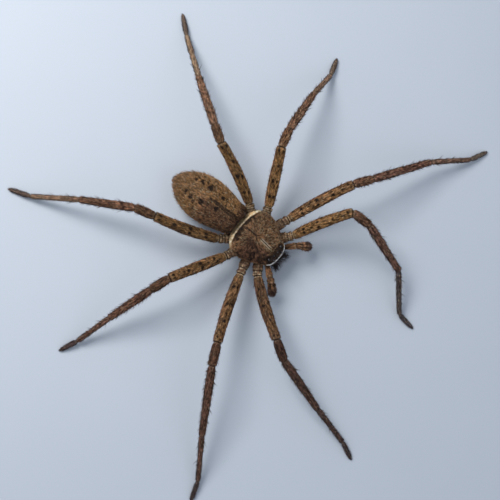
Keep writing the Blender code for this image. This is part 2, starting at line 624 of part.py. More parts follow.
def main():
    """Build the whole spider."""
    clear_scene()
    make_centre()
    materials = {
        "shield": make_material("shield", (0.24, 0.13, 0.06), 0.6),
        "abdomen": make_material("abdomen", (0.3, 0.17, 0.07), 0.75),
        "leg": make_material("leg", (0.28, 0.15, 0.07), 0.6),
        "foot": make_material("foot", (0.08, 0.05, 0.035), 0.65),
        "underside": make_material("underside", (0.3, 0.19, 0.1), 0.6),
        "jaw": make_material("jaw", (0.1, 0.045, 0.025), 0.4),
        "fang": make_material("fang", (0.03, 0.012, 0.008), 0.2),
        "eye": make_material("eye", (0.01, 0.01, 0.012), 0.08),
    }
    build_front_body(materials)
    build_jaws(materials)
    build_palps(materials)
    build_abdomen(materials)
    for side in ("left", "right"):
        for pair in (1, 2, 3, 4):
            build_leg(side, pair, materials)


main()
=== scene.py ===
# %% [markdown]
# # A huntsman spider at life size
#
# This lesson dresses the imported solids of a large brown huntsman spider. The solids give every part its
# place and size. The script puts one skin over them, then the eyes, jaws and fangs, then the coat of short
# hairs that gives a real huntsman its brown velvet look, and last the spines and claws. The model is still,
# so every piece rides on the one body, "root".

# %% Load the solids
import json
import math

import bpy
import numpy as np
from mathutils import Matrix, Vector

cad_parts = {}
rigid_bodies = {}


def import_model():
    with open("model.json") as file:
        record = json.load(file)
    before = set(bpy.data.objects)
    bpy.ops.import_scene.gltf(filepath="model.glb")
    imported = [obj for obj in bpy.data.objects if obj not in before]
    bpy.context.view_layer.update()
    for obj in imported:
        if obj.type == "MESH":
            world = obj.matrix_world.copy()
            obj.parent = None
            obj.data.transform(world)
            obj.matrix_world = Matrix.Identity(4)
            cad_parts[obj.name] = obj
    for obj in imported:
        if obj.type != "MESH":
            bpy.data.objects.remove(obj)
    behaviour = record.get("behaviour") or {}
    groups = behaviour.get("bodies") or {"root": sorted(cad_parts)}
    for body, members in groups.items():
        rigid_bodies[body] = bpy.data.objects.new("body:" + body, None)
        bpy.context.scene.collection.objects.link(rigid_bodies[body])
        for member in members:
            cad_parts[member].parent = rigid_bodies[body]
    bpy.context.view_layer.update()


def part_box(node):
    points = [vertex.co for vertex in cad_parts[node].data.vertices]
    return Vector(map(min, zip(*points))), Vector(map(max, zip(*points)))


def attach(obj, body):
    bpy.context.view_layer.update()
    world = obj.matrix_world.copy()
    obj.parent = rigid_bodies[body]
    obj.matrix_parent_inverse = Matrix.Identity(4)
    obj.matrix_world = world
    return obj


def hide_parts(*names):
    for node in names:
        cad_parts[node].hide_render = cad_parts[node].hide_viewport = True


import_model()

MM = 0.001
# Where the middle of the head shield stands, in millimetres; the spider's other places are measured from it
BODY_AT = np.array([0.05, 0.37, 0.0])
TURN = 2.0 * math.pi

# %% [markdown]
# ## The camera
#
# The photograph looks down on the spider from nearly straight above, with the head towards the lower right
# corner. A camera's own axes can be written down directly: where it looks from, which way is up in the
# picture, and the third axis as their cross product. All places in this lesson are in millimetres.

# %% Camera
CAMERA_TARGET = np.array([-1.77, -0.05, 0.0])
CAMERA_BACK = np.array([-0.1312, 0.0699, 0.9889])
CAMERA_UP = np.array([0.7448, 0.6652, 0.0518])
CAMERA_DISTANCE = 200.0
CAMERA_LENS = 72.0
SENSOR = 36.0


def unit(vectors):
    """Each vector divided by its own length."""
    vectors = np.asarray(vectors, dtype=float)
    return vectors / np.maximum(np.linalg.norm(vectors, axis=-1, keepdims=True), 1e-12)


def make_camera():
    """A camera whose axes are right, up and back."""
    back = unit(CAMERA_BACK)
    right = unit(np.cross(CAMERA_UP, back))
    up = np.cross(back, right)
    lens = bpy.data.cameras.new("camera")
    lens.lens = CAMERA_LENS
    lens.sensor_width = SENSOR
    lens.clip_start = MM
    camera = bpy.data.objects.new("camera", lens)
    turn = Matrix(np.column_stack([right, up, back]).tolist()).to_4x4()
    camera.matrix_world = Matrix.Translation((CAMERA_TARGET + back * CAMERA_DISTANCE) * MM) @ turn
    bpy.context.scene.collection.objects.link(camera)
    bpy.context.scene.camera = camera
    return right, up, back


PICTURE_RIGHT, PICTURE_UP, PICTURE_BACK = make_camera()
print("the camera looks along", np.round(-PICTURE_BACK, 3))

# %% [markdown]
# ## Surfaces as grids
#
# Nearly every form here is a ring of points carried along a path: a leg, a fang, a hair, even the flat
# shield, whose rings grow from its middle. Rows run along the path and columns run round it. The whole grid
# is worked out at once with numpy. The faces are then the same for every form: a quad for each cell, and a
# fan of triangles that closes each end.


# %% Faces of a closed grid
def closed_faces(rows, columns):
    """Quads between neighbouring rings, and at each end a fan to a pole; the poles are the last points."""
    row, column = np.meshgrid(np.arange(rows - 1), np.arange(columns), indexing="ij")
    after = (column + 1) % columns
    here = row * columns
    beyond = here + columns
    quads = np.stack([here + column, here + after, beyond + after, beyond + column], axis=-1).reshape(-1, 4)
    ring = np.arange(columns)
    following = (ring + 1) % columns
    last = (rows - 1) * columns
    first_fan = np.column_stack([following, ring, np.full(columns, rows * columns)])
    last_fan = np.column_stack([last + ring, last + following, np.full(columns, rows * columns + 1)])
    return [quads, np.vstack([first_fan, last_fan])]


def volume(points, faces):
    """Signed volume of a closed surface: a sixth of the sum of each triangle's triple product."""
    total = 0.0
    for group in faces:
        for k in range(1, group.shape[1] - 1):
            a, b, c = points[group[:, 0]], points[group[:, k]], points[group[:, k + 1]]
            total += np.einsum("ij,ij->", a, np.cross(b, c)) / 6.0
    return total


def new_mesh(name, points, faces, values=None):
    """A mesh from points in millimetres, face groups, and values kept on its points by name."""
    mesh = bpy.data.meshes.new(name)
    sizes = np.concatenate([np.full(len(group), group.shape[1]) for group in faces])
    mesh.vertices.add(len(points))
    mesh.vertices.foreach_set("co", ((points + BODY_AT) * MM).astype(np.float32).ravel())
    mesh.loops.add(int(sizes.sum()))
    corners = np.concatenate([group.ravel() for group in faces])
    mesh.loops.foreach_set("vertex_index", corners.astype(np.int32))
    mesh.polygons.add(len(sizes))
    mesh.polygons.foreach_set("loop_start", (np.cumsum(sizes) - sizes).astype(np.int32))
    mesh.update(calc_edges=True)
    for key, value in (values or {}).items():
        kind = "FLOAT_VECTOR" if value.ndim == 2 else "FLOAT"
        field = "vector" if value.ndim == 2 else "value"
        mesh.attributes.new(key, kind, "POINT").data.foreach_set(field, value.astype(np.float32).ravel())
    return mesh


def add_piece(name, mesh, material, nodes=()):
    """Put a finished mesh in the scene, on the one body, in place of the solids it stands for."""
    mesh.materials.clear()
    mesh.materials.append(material)
    mesh.shade_smooth()
    piece = bpy.data.objects.new(name, mesh)
    bpy.context.scene.collection.objects.link(piece)
    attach(piece, "root")
    if nodes:
        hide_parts(*nodes)
    return piece


def close_grid(grid, marks=None):
    """Points, faces and marks of a grid closed by a pole in the middle of its first and last ring."""
    rows, columns = grid.shape[:2]
    points = np.vstack([grid.reshape(-1, 3), grid[0].mean(axis=0), grid[-1].mean(axis=0)])
    faces = closed_faces(rows, columns)
    if volume(points, faces) < 0.0:
        faces = [group[:, ::-1] for group in faces]
    if marks is None:
        return points, faces, None
    return points, faces, np.vstack([marks.reshape(-1, 3), marks[0].mean(axis=0), marks[-1].mean(axis=0)])


def shell(name, grid, marks=None):
    """A closed mesh of a grid, with its marks if it has any."""
    points, faces, values = close_grid(grid, marks)
    return new_mesh(name, points, faces, {} if values is None else {"marks": values})


print("3 rings of 4 points close with", sum(len(group) for group in closed_faces(3, 4)), "faces")

# %% [markdown]
# ## Limbs
#
# A spider's leg has seven parts: a short coxa and trochanter at the body, then the femur, the knee piece or
# patella, the tibia, and the foot in two parts, metatarsus and tarsus. The path through their joints is a
# jointed line with rounded corners. The thickness comes from a few places on each part, joined by a curve
# that never swings past them, and each joint is nipped in where the soft joint skin lies.


# %% Path and thickness of a limb
def bend_path(joints, away, reach):
    """Points and headings at distances along a jointed line.

    Within reach of a joint the line is a quadratic curve: (1-w)^2 a + 2w(1-w) joint + w^2 b.
    """
    joints = np.asarray(joints, dtype=float)
    steps = np.diff(joints, axis=0)
    lengths = np.linalg.norm(steps, axis=1)
    heads = steps / lengths[:, None]
    stations = np.concatenate([[0.0], np.cumsum(lengths)])
    piece = np.clip(np.searchsorted(stations, away, side="right") - 1, 0, len(heads) - 1)
    points = joints[piece] + (away - stations[piece])[:, None] * heads[piece]
    ways = heads[piece].copy()
    for k in range(1, len(joints) - 1):
        share = (away - stations[k] + reach) / (2.0 * reach)
        near = (share > 0.0) & (share < 1.0)
        w = share[near][:, None]
        before = joints[k] - reach * heads[k - 1]
        behind = joints[k] + reach * heads[k]
        points[near] = (1.0 - w) ** 2 * before + 2.0 * w * (1.0 - w) * joints[k] + w ** 2 * behind
        ways[near] = (1.0 - w) * heads[k - 1] + w * heads[k]
    return points, unit(ways)


def smooth_curve(at, knots, values):
    """A cubic curve through the knots; as harmonic means of their neighbours, its slopes never overshoot."""
    widths = np.diff(knots)
    rises = np.diff(values) / widths
    slopes = np.zeros(len(knots))
    product = rises[:-1] * rises[1:]
    total = rises[:-1] + rises[1:]
    slopes[1:-1] = np.where(product > 0.0, 2.0 * product / np.where(total == 0.0, 1.0, total), 0.0)
    k = np.clip(np.searchsorted(knots, at, side="right") - 1, 0, len(knots) - 2)
    t = np.clip((at - knots[k]) / widths[k], 0.0, 1.0)
    start = values[k] * (1.0 + 2.0 * t) * (1.0 - t) ** 2 + slopes[k] * widths[k] * t * (1.0 - t) ** 2
    end = values[k + 1] * t ** 2 * (3.0 - 2.0 * t) + slopes[k + 1] * widths[k] * t ** 2 * (t - 1.0)
    return start + end


# Depth of the coat; how much a joint is nipped in and over what width; how far from a joint the path bends
COAT = 0.1
NIP_DEPTH = 0.13
NIP_WIDTH = 0.12
CORNER_REACH = 0.9
# Rings close to a joint, as distances from it, and the least gap between two rings
CLOSE_RINGS = (0.06, 0.13, 0.2, 0.3, 0.42)
LEAST_GAP = 0.03


def limb_distances(stations, step):
    """Distances for the rings: even steps, with closer ones on both sides of every joint."""
    even = np.linspace(0.0, stations[-1], int(round(stations[-1] / step)) + 1)
    close = [stations[1:-1] + side * gap for gap in CLOSE_RINGS for side in (-1.0, 1.0)]
    every = np.sort(np.concatenate([even, stations[1:-1], *close]))
    return every[np.concatenate([[True], np.diff(every) > LEAST_GAP])]


def limb_grid(joints, profiles, sides, step, bows=(), tip=0.0, nip=NIP_DEPTH, reach=CORNER_REACH,
              coat=COAT):
    """Grid of a limb, the distance of each ring along it, and the joints' distances.

    A point is centre + side * width * cos(turn) + up * height * sin(turn). Over the last stretch the width
    falls as the root of 1 - (1 - left)^2, so that the tip is round.
    """
    lengths = np.linalg.norm(np.diff(np.asarray(joints, dtype=float), axis=0), axis=1)
    stations = np.concatenate([[0.0], np.cumsum(lengths)])
    away = limb_distances(stations, step)
    centres, ways = bend_path(joints, away, reach)
    side = unit(np.cross(ways, (0.0, 0.0, 1.0)))
    up = np.cross(side, ways)
    for k, bow in enumerate(bows):
        share = np.clip((away - stations[k]) / lengths[k], 0.0, 1.0)
        centres = centres + side * (bow * 4.0 * share * (1.0 - share))[:, None]
    knots = np.concatenate([start + length * np.array(rows)[:, 0]
                            for start, length, rows in zip(stations, lengths, profiles)])
    knots = knots + np.linspace(0.0, 1e-4, len(knots))
    table = np.concatenate([np.array(rows)[:, 1:] for rows in profiles]) - coat
    gaps = np.abs(away[:, None] - stations[None, 1:-1])
    shrink = 1.0 - nip * np.exp(-(gaps / NIP_WIDTH) ** 2).sum(axis=1)
    if tip > 0.0:
        left = np.clip((stations[-1] - away) / tip, 0.0, 1.0)
        shrink = shrink * np.sqrt(np.clip(1.0 - (1.0 - left) ** 2, 0.02, 1.0))
    wide = smooth_curve(away, knots, table[:, 0]) * shrink
    high = smooth_curve(away, knots, table[:, 1]) * shrink
    turn = np.linspace(0.0, TURN, sides, endpoint=False)
    across = (wide[:, None] * np.cos(turn))[..., None] * side[:, None, :]
    upward = (high[:, None] * np.sin(turn))[..., None] * up[:, None, :]
    return centres[:, None, :] + across + upward, away, stations


print("a limb with a joint at 2 mm gets rings at", limb_distances(np.array([0.0, 2.0, 3.0]), 1.0))

# %% [markdown]
# ## The stance
#
# Each leg's stance is a compass heading for every part and a height for every knee. These are the solids'
# own numbers, so the skin of each leg lies just inside its solids, by the depth of the legs' own coat.

# %% Numbers of the legs
SEGMENT_LENGTHS = {
    1: (13.1, 4.4, 12.6, 9.4, 3.9),
    2: (14.5, 4.5, 14.3, 10.0, 4.1),
    3: (12.7, 4.1, 10.1, 8.2, 3.7),
    4: (13.9, 4.0, 11.0, 10.4, 4.3),
}
COXA_INNER = {1: (2.35, -2.25), 2: (2.9, -0.4), 3: (2.8, 1.45), 4: (1.95, 3.05)}
COXA_OUTER = {1: (5.3, -4.6), 2: (7.2, -1.8), 3: (6.4, 2.7), 4: (4.6, 5.9)}
COXA_SWAY = {1: 0.0, 2: 0.0, 3: -0.1, 4: -0.28}
COXA_HEIGHTS = (4.1, 4.4)
ANKLE_HEIGHT = 1.1
TIP_HEIGHT = 0.34
POSE = {
    ("left", 1): ((-27, -81, -98, -132, -92), (10.9, 9.7, 4.2)),
    ("left", 2): ((-20, -32, -31, -42, -24), (9.2, 7.9, 4.0)),
    ("left", 3): ((33, 16, 6, -1, 19), (10.3, 9.2, 5.7)),
    ("left", 4): ((71, 58, 57, 54, 51), (10.1, 8.8, 5.4)),
    ("right", 1): ((-124, -118, -102, -99, -111), (8.0, 7.1, 3.8)),
    ("right", 2): ((-159, -153, -145, -141, -157), (8.0, 8.9, 4.7)),
    ("right", 3): ((153, 164, 166, 168, 159), (8.6, 7.6, 4.0)),
    ("right", 4): ((114, 108, 122, 126, 112), (8.6, 8.0, 5.1)),
}
FEMUR_BOW = {1: -0.3, 2: -0.25, 3: 0.0, 4: 0.35}

# Share of the way along each part, half width and half height there
COXA_RINGS = [
    (0.0, 0.72, 0.95), (0.2, 0.84, 1.1), (0.5, 1.1, 1.2), (0.66, 1.08, 1.12),
    (0.73, 0.88, 0.92), (0.76, 0.9, 0.94), (0.82, 1.02, 1.03), (0.93, 0.98, 1.0),
]
FEMUR_RINGS = [
    (0.0, 0.84, 0.88), (0.05, 0.97, 1.01), (0.15, 1.06, 1.12), (0.32, 1.14, 1.2),
    (0.55, 1.16, 1.2), (0.78, 1.06, 1.1), (0.93, 1.04, 1.05), (0.975, 1.0, 1.02),
]
PATELLA_RINGS = [(0.0, 0.8, 0.83), (0.1, 0.9, 0.94), (0.4, 0.97, 1.0), (0.75, 0.94, 0.96), (0.94, 0.88, 0.9)]
TIBIA_RINGS = [
    (0.0, 0.76, 0.78), (0.05, 0.84, 0.86), (0.2, 0.9, 0.9), (0.45, 0.87, 0.87),
    (0.7, 0.79, 0.79), (0.93, 0.74, 0.74), (0.985, 0.72, 0.72),
]
METATARSUS_RINGS = [
    (0.0, 0.6, 0.6), (0.05, 0.64, 0.64), (0.3, 0.62, 0.62), (0.6, 0.56, 0.56), (0.95, 0.52, 0.5),
]
TARSUS_RINGS = [
    (0.0, 0.46, 0.44), (0.12, 0.52, 0.48), (0.55, 0.5, 0.46), (0.9, 0.42, 0.4), (1.0, 0.34, 0.32),
]
LEG_PROFILES = [COXA_RINGS, FEMUR_RINGS, PATELLA_RINGS, TIBIA_RINGS, METATARSUS_RINGS, TARSUS_RINGS]
LEG_SIDES = 28
LEG_STEP = 0.27
LEG_TIP = 0.35
LEG_COAT = 0.19
print("length of a leg of each pair:", [round(sum(parts), 1) for parts in SEGMENT_LENGTHS.values()], "mm")


# %% Joints of a leg
def leg_joints(side, pair):
    """The seven joint centres of a leg, from inside the body to the tip of the foot."""
    sign = 1.0 if side == "left" else -1.0
    headings, knees = POSE[(side, pair)]
    heights = (COXA_HEIGHTS[1], *knees, ANKLE_HEIGHT, TIP_HEIGHT)
    inner = np.array([sign * COXA_INNER[pair][0], COXA_INNER[pair][1], COXA_HEIGHTS[0]])
    outer = np.array([sign * COXA_OUTER[pair][0] + COXA_SWAY[pair], COXA_OUTER[pair][1], heights[0]])
    joints = [inner, outer]
    for length, heading, low, high in zip(SEGMENT_LENGTHS[pair], headings, heights, heights[1:]):
        run = math.sqrt(length ** 2 - (high - low) ** 2)
        angle = math.radians(heading)
        joints.append(joints[-1] + np.array([run * math.cos(angle), run * math.sin(angle), high - low]))
    return joints


LEG_NAMES = [(side, pair) for side in ("left", "right") for pair in (1, 2, 3, 4)]
LEGS = {}
for side, pair in LEG_NAMES:
    sign = 1.0 if side == "left" else -1.0
    grid, away, stations = limb_grid(leg_joints(side, pair), LEG_PROFILES, LEG_SIDES, LEG_STEP,
                                     bows=(0.0, FEMUR_BOW[pair] * sign), tip=LEG_TIP, coat=LEG_COAT)
    grid[..., 2] = np.maximum(grid[..., 2], 0.0)
    LEGS[(side, pair)] = (grid, away, stations)
print("legs:", [leg[0].shape[0] for leg in LEGS.values()], "rings of", LEG_SIDES)

# %% [markdown]
# ## Shield and underside
#
# The front half of the body is one shell. Its rings start at the middle of the shield, spread to the rim,
# run in under it, down past the roots of the legs and close in the middle of the breast plate. The shield's
# outline is a smooth loop through a few points. A slit, the fovea, and the furrows that fan out from it are
# soft troughs along straight lines.

# %% Numbers of the shield
SHIELD_OUTLINE = [
    (0.0, -5.3), (1.2, -5.2), (2.2, -4.85), (2.9, -4.0), (3.6, -2.7), (4.5, -1.1), (5.05, 0.4),
    (5.1, 1.9), (4.7, 3.2), (3.85, 4.2), (2.6, 4.85), (1.2, 5.1), (0.0, 5.15),
]
SHIELD_RIDGE = [(-5.3, 6.7), (-4.5, 7.1), (-3.0, 7.45), (-0.5, 7.8), (2.0, 7.75), (3.8, 7.1), (5.15, 6.3)]
RIM_LOW = 5.25
RIM_HIGH = 5.75
BREAST_OUTLINE = [(0.0, -2.75), (1.2, -2.6), (2.1, -1.8), (2.5, -0.3), (2.35, 1.2), (1.4, 2.6), (0.0, 3.2)]
SHIELD_SIDES = 128
SHIELD_SHARES = np.concatenate([np.linspace(0.03, 0.85, 34), np.linspace(0.87, 0.995, 12)])
# Furrows on the left side: from, to, depth and half width
FURROWS = [
    ((0.0, 3.5), (0.0, 1.1), 0.24, 0.14),
    ((0.0, 3.3), (0.0, 1.3), 0.16, 0.5),
    ((0.4, 1.6), (2.6, -2.9), 0.08, 0.34),
    ((0.7, 1.7), (4.4, -1.2), 0.03, 0.26),
    ((0.7, 2.0), (4.7, 0.4), 0.05, 0.3),
    ((0.6, 2.4), (4.4, 2.3), 0.03, 0.28),
    ((0.5, 2.9), (3.2, 3.9), 0.04, 0.28),
]
LOOP_STEPS = 24
print("shield:", SHIELD_OUTLINE[-1][1] - SHIELD_OUTLINE[0][1], "mm long,", len(FURROWS), "furrows")


# %% The shield's shape
def smooth_loop(half_outline, count):
    """An even closed loop through half an outline and its mirror image, by Catmull-Rom curves."""
    right = np.array(half_outline, dtype=float)
    knots = np.vstack([right, right[-2:0:-1] * (-1.0, 1.0)])
    t = np.linspace(0.0, 1.0, LOOP_STEPS, endpoint=False)[None, :, None]
    a, b, c, d = (np.roll(knots, 1 - j, axis=0)[:, None, :] for j in range(4))
    square, cube = 2 * a - 5 * b + 4 * c - d, 3 * b - a - 3 * c + d
    curve = 0.5 * (2 * b + (c - a) * t + square * t ** 2 + cube * t ** 3).reshape(-1, 2)
    closed = np.vstack([curve, curve[:1]])
    along = np.concatenate([[0.0], np.cumsum(np.linalg.norm(np.diff(closed, axis=0), axis=1))])
    wanted = np.linspace(0.0, along[-1], count, endpoint=False)
    return np.column_stack([np.interp(wanted, along, closed[:, 0]), np.interp(wanted, along, closed[:, 1])])


def line_distance(x, y, start, end):
    """Distance of points from a straight stretch, and how far along it they lie from 0 to 1."""
    across, along = end[0] - start[0], end[1] - start[1]
    share = ((x - start[0]) * across + (y - start[1]) * along) / (across ** 2 + along ** 2)
    share = np.clip(share, 0.0, 1.0)
    return np.hypot(x - start[0] - share * across, y - start[1] - share * along), share


def shield_height(flat, share):
    """Height of the shield: rim + (ridge - rim - furrow) * dome, dome = (1 - share^steepness)^0.62."""
    outward = unit(flat)
    front = np.clip(-outward[..., 1], 0.0, 1.0) ** 4
    rear = np.clip(outward[..., 1], 0.0, 1.0) ** 4
    steepness = 2.6 + 5.5 * front + 2.5 * rear
    ridge_y, ridge_z = np.array(SHIELD_RIDGE).T
    dome = (1.0 - share ** steepness) ** 0.62
    depth = np.zeros(flat.shape[:-1])
    for start, end, deep, wide in FURROWS:
        gap, _ = line_distance(np.abs(flat[..., 0]), flat[..., 1], start, end)
        depth = np.maximum(depth, deep * np.exp(-(gap / wide) ** 2))
    return RIM_HIGH + (np.interp(flat[..., 1], ridge_y, ridge_z) - RIM_HIGH) * dome - depth * dome


# Rings under the shield: a share and a height. The share is that of the rim, then of the way from the core,
# which is the outline drawn in, to the breast plate, then that of the breast plate.
RIM_RINGS = [(1.0, RIM_HIGH - 0.12), (1.0, RIM_LOW + 0.2), (0.98, RIM_LOW + 0.08), (0.9, RIM_LOW + 0.05)]
CORE_RINGS = [(0.0, 5.2), (0.1, 4.9), (0.3, 4.5), (0.6, 4.15), (0.85, 3.9)]
BREAST_RINGS = [(1.0, 3.8), (1.0, 3.46), (0.96, 3.3), (0.85, 3.18), (0.6, 3.08), (0.3, 3.04), (0.08, 3.03)]
CORE_SHARES = (0.52, 0.62)


def shield_grid():
    """Grid of the whole front body, from the top of the shield to the middle of the breast plate."""
    loop = smooth_loop(SHIELD_OUTLINE, SHIELD_SIDES)
    breast = smooth_loop(BREAST_OUTLINE, SHIELD_SIDES)
    rim = loop - unit(loop) * COAT
    core = loop * CORE_SHARES
    flats = [rim * share for share in SHIELD_SHARES]
    heights = [shield_height(flat, share) - COAT for flat, share in zip(flats, SHIELD_SHARES)]
    flats += [rim * share for share, _ in RIM_RINGS]
    flats += [core * (1.0 - mix) + breast * mix for mix, _ in CORE_RINGS]
    flats += [breast * share for share, _ in BREAST_RINGS]
    heights += [np.full(SHIELD_SIDES, height) for _, height in RIM_RINGS + CORE_RINGS + BREAST_RINGS]
    return np.dstack([np.array(flats), np.array(heights)])


SHIELD = shield_grid()
print("front body:", SHIELD.shape[:2], "top at", round(float(SHIELD[..., 2].max()), 2), "mm")

# %% [markdown]
# ## Abdomen
#
# The abdomen is a long egg, blunt in front and drawn out behind, flatter below than above. Each ring is an
# ellipse whose upper and lower halves have their own heights. Small dimples, the sigilla, mark where
# muscles hold to the skin from inside.

# %% Numbers and shape of the abdomen
ABDOMEN_START = (-0.12, 5.46)
ABDOMEN_LENGTH = 14.8
ABDOMEN_LEAN = math.radians(6.0)
ABDOMEN_HALF_WIDTH = 4.5
ABDOMEN_UP = 4.25
ABDOMEN_DOWN = 3.15
ABDOMEN_MIDLINE = (5.6, 4.5)
ABDOMEN_SIDES = 96
ABDOMEN_ROWS = 96
# Dark sigilla on the back: across, along and radius
SIGILLA = [
    (0.86, 13.63, 0.57), (-2.35, 13.33, 0.56), (0.84, 15.64, 0.39), (-2.85, 15.44, 0.44),
    (0.35, 16.74, 0.33), (-2.5, 16.76, 0.32), (0.95, 10.59, 0.42), (-1.5, 10.26, 0.46),
    (-3.3, 14.52, 0.32), (0.5, 15.2, 0.24), (-0.75, 12.35, 0.26), (0.2, 9.3, 0.21),
    (-1.9, 12.1, 0.26), (1.5, 13.3, 0.2),
]


def abdomen_girth(share):
    """Half width as a share of the widest, from 0 at the front to 0 at the rear end."""
    front = 1.0 - 0.34 * np.clip(1.0 - share / 0.5, 0.0, 1.0) ** 1.6
    front = front * (1.0 - (1.0 - np.clip(share / 0.05, 0.0, 1.0)) ** 3) ** (1.0 / 3.0)
    rear = np.clip(1.0 - (np.clip(share - 0.5, 0.0, 0.5) / 0.5) ** 2, 0.0, 1.0) ** 0.6
    return np.where(share < 0.5, front, rear)


def abdomen_grid():
    """Grid of the abdomen: centre + width * cos(turn) across + height * sin(turn) upwards."""
    share = (0.0006 + 0.9988 * (1.0 - np.cos(np.linspace(0.0, math.pi, ABDOMEN_ROWS))) / 2.0)[:, None]
    girth = abdomen_girth(share)
    rise = girth * (1.0 - 0.36 * np.clip(1.0 - share / 0.5, 0.0, 1.0) ** 2)
    turn = np.linspace(0.0, TURN, ABDOMEN_SIDES, endpoint=False)[None, :]
    up = ABDOMEN_UP * rise ** 0.9 + 0.1 * np.sin(math.pi * share) - COAT
    down = ABDOMEN_DOWN * girth - COAT
    across = np.clip(ABDOMEN_HALF_WIDTH * girth - COAT, 0.01, None) * np.cos(turn)
    height = np.clip(np.where(np.sin(turn) > 0.0, up, down), 0.01, None) * np.sin(turn)
    away = share * ABDOMEN_LENGTH + COAT * (1.0 - 2.0 * share)
    middle = ABDOMEN_MIDLINE[0] + (ABDOMEN_MIDLINE[1] - ABDOMEN_MIDLINE[0]) * share
    x = ABDOMEN_START[0] - away * math.sin(ABDOMEN_LEAN) + across * math.cos(ABDOMEN_LEAN)
    y = ABDOMEN_START[1] + away * math.cos(ABDOMEN_LEAN) + across * math.sin(ABDOMEN_LEAN)
    z = middle + height
    for dot_x, dot_y, radius in SIGILLA:
        dimple = 0.4 * radius * np.exp(-((x - dot_x) ** 2 + (y - dot_y) ** 2) / (0.7 * radius) ** 2)
        z = z - np.where(height > 0.0, dimple, 0.0)
    return np.stack([x, y, z], axis=-1)


ABDOMEN = abdomen_grid()
print("abdomen:", ABDOMEN.shape[:2], "top at", round(float(ABDOMEN[..., 2].max()), 2), "mm")

# %% [markdown]
# ## Palps, mouth parts, stalk and spinnerets
#
# The small parts are limbs too, with their own few numbers: the two feelers beside the jaws, the plates at
# the mouth that carry them, the tongue between those, the thin stalk that joins the two halves of the body,
# and the silk spinnerets under the rear end.

# %% Palps
PALP_ROOT = (1.7, -4.0, 3.7)
PALP_BEND = (2.45, -4.75, 4.2)
PALP_RUNS = (2.4, 1.0, 1.2, 1.1)
PALP_HEIGHTS = (5.5, 5.1, 3.7, 1.5)
PALP_HEADINGS = {"left": (-42, -52, -48, -41), "right": (-131, -121, -119, -124)}
PALP_PROFILES = [
    [(0.0, 0.46, 0.46), (0.6, 0.5, 0.5)],
    [(0.0, 0.46, 0.46), (0.3, 0.52, 0.56), (0.8, 0.6, 0.62), (0.95, 0.54, 0.54)],
    [(0.0, 0.52, 0.52), (0.35, 0.66, 0.66), (0.85, 0.65, 0.65)],
    [(0.0, 0.6, 0.6), (0.3, 0.75, 0.75), (0.85, 0.77, 0.77)],
    [(0.0, 0.7, 0.7), (0.25, 0.83, 0.79), (0.6, 0.81, 0.75), (0.88, 0.62, 0.58), (1.0, 0.46, 0.44)],
]
PALP_SIDES = 22
PALP_STEP = 0.15


def palp_joints(side):
    """The six joint centres of a palp, from its root beside the mouth."""
    sign = 1.0 if side == "left" else -1.0
    joints = [np.array([sign * place[0], place[1], place[2]]) for place in (PALP_ROOT, PALP_BEND)]
    for run, height, heading in zip(PALP_RUNS, PALP_HEIGHTS, PALP_HEADINGS[side]):
        angle = math.radians(heading)
        x, y = joints[-1][0] + run * math.cos(angle), joints[-1][1] + run * math.sin(angle)
        joints.append(np.array([x, y, height]))
    return joints


PALPS = {side: limb_grid(palp_joints(side), PALP_PROFILES, PALP_SIDES, PALP_STEP, tip=0.4, reach=0.45)
         for side in ("left", "right")}
print("palps:", [palp[0].shape[0] for palp in PALPS.values()], "rings")


# %% Mouth parts, stalk and spinnerets
SMALL_SIDES = 18
SMALL_STEP = 0.12
MAXILLA_ROOT = np.array([1.35, -3.0, 3.62])
MAXILLA_TIP = np.array([1.0, -4.55, 3.35])
MAXILLA_PROFILE = [(0.0, 0.52, 0.5), (0.3, 0.65, 0.52), (0.7, 0.7, 0.5), (1.0, 0.52, 0.44)]
LABIUM_ROOT = (0.0, -2.6, 3.5)
LABIUM_TIP = (0.0, -4.05, 3.36)
LABIUM_PROFILE = [(0.0, 0.66, 0.42), (0.6, 0.66, 0.44), (1.0, 0.48, 0.36)]
STALK_FROM = (0.0, 2.6, 4.75)
STALK_TO = (-0.15, 6.6, 4.9)
STALK_PROFILE = [(0.0, 0.7, 0.7), (1.0, 0.7, 0.7)]
SPINNERET_BASE = np.array([-1.54, 19.0, 3.1])
SPINNERET_WAY = unit([-0.09, 0.86, -0.5])
SPINNERET_PROFILE = [(0.0, 1.0, 0.8), (0.7, 0.95, 0.72), (1.0, 0.75, 0.55)]
CONE_PROFILE = [
    (0.0, 0.42, 0.42), (0.55, 0.42, 0.42), (0.62, 0.36, 0.36), (0.9, 0.32, 0.32), (1.0, 0.24, 0.24),
]
# Cones of the spinnerets: across, up and length
CONES = [(0.42, 0.22, 1.4), (0.38, -0.26, 1.2), (0.16, -0.02, 0.95)]
CONE_TIP = 0.15


def small_limb(start, end, profile, tip=0.3):
    """A short form between two places, round at its far end."""
    return limb_grid([start, end], [profile], SMALL_SIDES, SMALL_STEP, tip=tip)[0]


SMALL_FORMS = [small_limb(LABIUM_ROOT, LABIUM_TIP, LABIUM_PROFILE)]
SMALL_FORMS.append(small_limb(STALK_FROM, STALK_TO, STALK_PROFILE))
for sign in (1.0, -1.0):
    flip = np.array([sign, 1.0, 1.0])
    SMALL_FORMS.append(small_limb(MAXILLA_ROOT * flip, MAXILLA_TIP * flip, MAXILLA_PROFILE))
    for across, up, length in CONES:
        root = SPINNERET_BASE + np.array([across * sign, 0.0, up])
        SMALL_FORMS.append(small_limb(root, root + SPINNERET_WAY * length, CONE_PROFILE, CONE_TIP))
mound = [SPINNERET_BASE + SPINNERET_WAY * away for away in (-1.0, 0.4)]
SMALL_FORMS.append(small_limb(*mound, SPINNERET_PROFILE))
print("small forms:", len(SMALL_FORMS))

